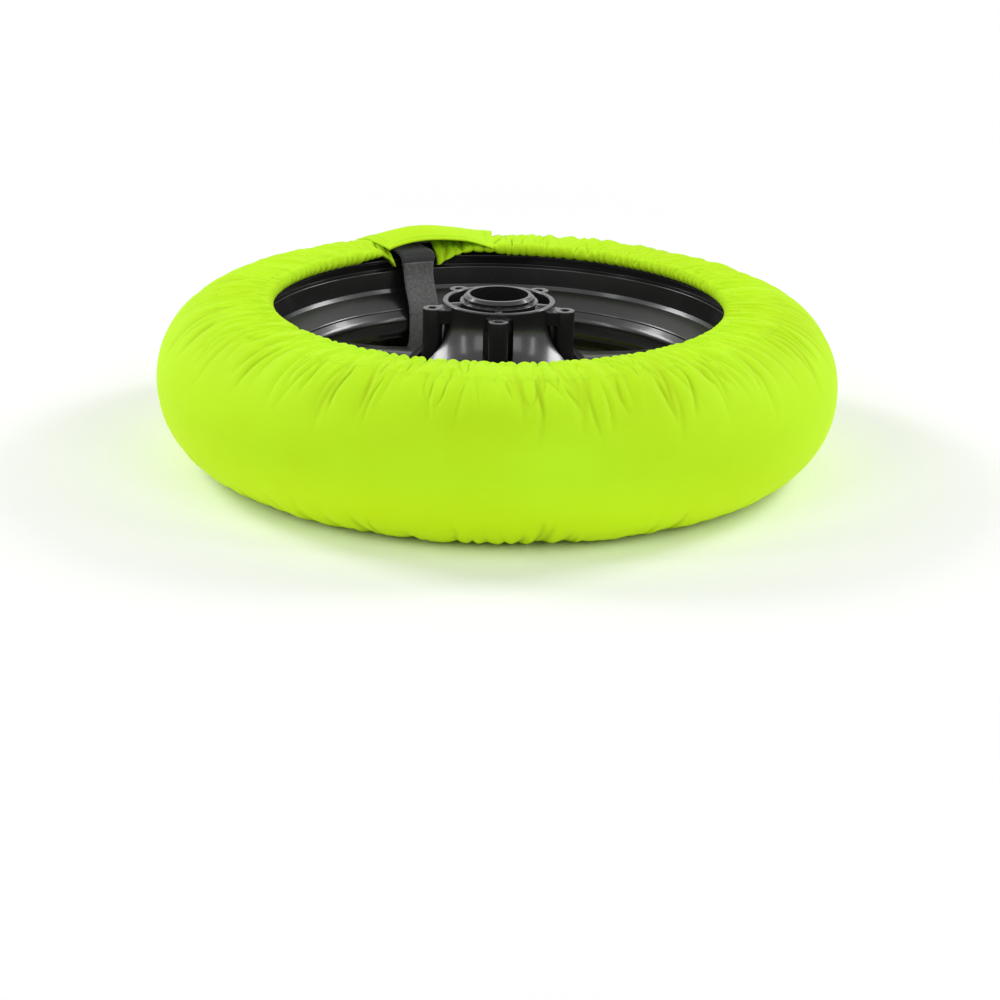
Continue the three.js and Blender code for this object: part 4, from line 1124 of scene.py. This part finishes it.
def hub_casting():
    """The bell, its disc lugs and the spokes, joined as one casting with rounded edges."""
    bell = turned_solid("bell", bell_profile(), 150, closed=True)
    carriers = []
    spokes = []
    for number in range(SPOKES):
        angle = FIRST_SPOKE + number * 360 / SPOKES
        lug_angle = angle + 180 / SPOKES
        cut(bell, turned_by(block((48.2, -13.5, -65), (130, 13.5, 65)), lug_angle))
        carriers.append(turned_by(lug_carrier(), lug_angle))
        spokes.append(turned_by(spoke_solid(), angle))
    for part in [bell, *carriers, *spokes]:
        edges = part.modifiers.new("cast_edges", "BEVEL")
        edges.width = BELL_EDGE if part is bell else CAST_EDGE
        edges.segments = 3
        edges.limit_method = "ANGLE"
        edges.angle_limit = math.radians(38)
        edges.harden_normals = True
        apply_modifiers(part)
    casting = joined("hub_and_spokes", [bell, *carriers, *spokes])
    casting.data.transform(Matrix.Translation((0, 0, middle)))
    casting.data.shade_smooth()
    return casting


hub = hub_casting()
spoke_nodes = [f"wheel_spoke_{number + 1}" for number in range(SPOKES)]
dress(hub, black, "wheel_paint", "wheel_hub", *spoke_nodes)

# Valve
# A snap-in rubber valve through the well, with a plastic cap screwed on its end.

VALVE_ANGLE = 270.0
stem_profile = [
    (0, 160.8),
    (2.6, 160.8),
    (2.6, 168.8),
    (3.9, 168.8),
    (4.2, 172),
    (4.5, 181.3),
    (7.1, 186.3),
    (7.1, 189),
    (5.7, 189),
    (5.7, 196.8),
    (8, 196.8),
    (8, 198.3),
    (0, 199.8),
]
cap_profile = [
    (0, 158.5),
    (3.6, 158.5),
    (4.8, 159.2),
    (5, 160.4),
    (5, 168.5),
    (2.9, 168.5),
    (2.9, 160.5),
    (0, 160.5),
]
to_valve = (
    Matrix.Rotation(math.radians(VALVE_ANGLE), 4, "Z")
    @ Matrix.Translation((0, 0, middle))
    @ Matrix.Rotation(math.radians(90), 4, "Y")
)
stem = turned_solid("valve_stem_rubber", np.array(stem_profile) * mm, 32)
stem.data.transform(to_valve)
dress(stem, rubber, "gland_rubber", "valve_stem")
cap = turned_solid("valve_cap_plastic", np.array(cap_profile) * mm, 32)
cap.data.transform(to_valve)
dress(cap, moulded_rubber("cap_plastic", 0.4), "gland_rubber", "valve_cap")

# Floor, lights and camera
# A pale studio floor, soft lamps round the object and the photograph's view.

CAMERA_HEIGHT = 0.7882
CAMERA_BACK = 2.4322
CAMERA_DOWN = 18.99
CAMERA_YAW = 0.118
CAMERA_ROLL = 1.277
LENS = 98.86

camera_data = bpy.data.cameras.new("camera")
camera_data.lens = LENS
camera_data.sensor_width = 36
camera = bpy.data.objects.new("camera", camera_data)
bpy.context.scene.collection.objects.link(camera)
camera.matrix_world = (
    Matrix.Translation((0, -CAMERA_BACK, CAMERA_HEIGHT))
    @ Matrix.Rotation(math.radians(-CAMERA_YAW), 4, "Z")
    @ Matrix.Rotation(math.radians(90 - CAMERA_DOWN), 4, "X")
    @ Matrix.Rotation(math.radians(CAMERA_ROLL), 4, "Z")
)
bpy.context.scene.camera = camera

FLOOR = 1.3
FADE_START = 0.5
FADE_END = 1.2
WORLD_LIGHT = 0.42
LOOK_AT = (0, 0, 0.1)

floor_mesh = bpy.data.meshes.new("floor")
floor_mesh.from_pydata(
    [(-FLOOR, -FLOOR, 0), (FLOOR, -FLOOR, 0), (FLOOR, FLOOR, 0), (-FLOOR, FLOOR, 0)],
    [],
    [(0, 1, 2, 3)],
)
floor = bpy.data.objects.new("floor", floor_mesh)
bpy.context.scene.collection.objects.link(floor)
floor_paint, floor_tree, floor_shader = new_material("pale_floor", (0.96, 0.96, 0.96), 0.9)
floor_shader.inputs["Specular IOR Level"].default_value = 0.1
floor_place = add_node(floor_tree, "ShaderNodeTexCoord")
floor_reach = add_node(floor_tree, "ShaderNodeVectorMath", operation="LENGTH")
floor_tree.links.new(floor_place.outputs["Object"], floor_reach.inputs[0])
floor_fade = add_node(floor_tree, "ShaderNodeMapRange", Value=floor_reach.outputs["Value"])
floor_fade.inputs["From Min"].default_value = FADE_START
floor_fade.inputs["From Max"].default_value = FADE_END
floor_clear = add_node(floor_tree, "ShaderNodeBsdfTransparent")
floor_mix = add_node(floor_tree, "ShaderNodeMixShader")
floor_tree.links.new(floor_fade.outputs["Result"], floor_mix.inputs[0])
floor_tree.links.new(floor_shader.outputs["BSDF"], floor_mix.inputs[1])
floor_tree.links.new(floor_clear.outputs["BSDF"], floor_mix.inputs[2])
floor_surface = floor_tree.nodes["Material Output"].inputs["Surface"]
floor_tree.links.new(floor_mix.outputs["Shader"], floor_surface)
floor.data.materials.append(floor_paint)

world = bpy.data.worlds.new("studio")
bpy.context.scene.world = world
world.use_nodes = True
world_tree = world.node_tree
background = world_tree.nodes["Background"]
rays = add_node(world_tree, "ShaderNodeLightPath")
mirrored = add_node(world_tree, "ShaderNodeMath", operation="MAXIMUM")
world_tree.links.new(rays.outputs["Is Glossy Ray"], mirrored.inputs[0])
world_tree.links.new(rays.outputs["Is Transmission Ray"], mirrored.inputs[1])
seen = add_node(world_tree, "ShaderNodeMath", operation="MAXIMUM")
world_tree.links.new(rays.outputs["Is Camera Ray"], seen.inputs[0])
world_tree.links.new(mirrored.outputs["Value"], seen.inputs[1])
strength = add_node(world_tree, "ShaderNodeMapRange", Value=seen.outputs["Value"])
strength.inputs["To Min"].default_value = WORLD_LIGHT
strength.inputs["To Max"].default_value = 1.0
world_tree.links.new(strength.outputs["Result"], background.inputs["Strength"])
background.inputs["Color"].default_value = (1, 1, 1, 1)


def soft_lamp(name, place, aim, size, power):
    """A square soft box aimed at a point."""
    light = bpy.data.lights.new(name, "AREA")
    light.shape = "RECTANGLE"
    light.size = size[0]
    light.size_y = size[1]
    light.energy = power
    lamp = bpy.data.objects.new(name, light)
    bpy.context.scene.collection.objects.link(lamp)
    lamp.location = place
    direction = Vector(aim) - Vector(place)
    lamp.rotation_mode = "QUATERNION"
    lamp.rotation_quaternion = direction.to_track_quat("-Z", "Y")
    return lamp


for side, where in ((-1, "left"), (1, "right")):
    soft_lamp(f"{where}_back_lamp", (side * 1.9, 0.9, 1.5), LOOK_AT, (0.8, 0.8), 25)
    soft_lamp(f"{where}_front_lamp", (side * 1.2, -1.8, 1.3), LOOK_AT, (1.0, 1.2), 9)
    soft_lamp(f"{where}_side_lamp", (side * 2.0, -0.7, 1.3), LOOK_AT, (0.3, 1.2), 6)

bpy.context.scene.view_settings.view_transform = "Standard"
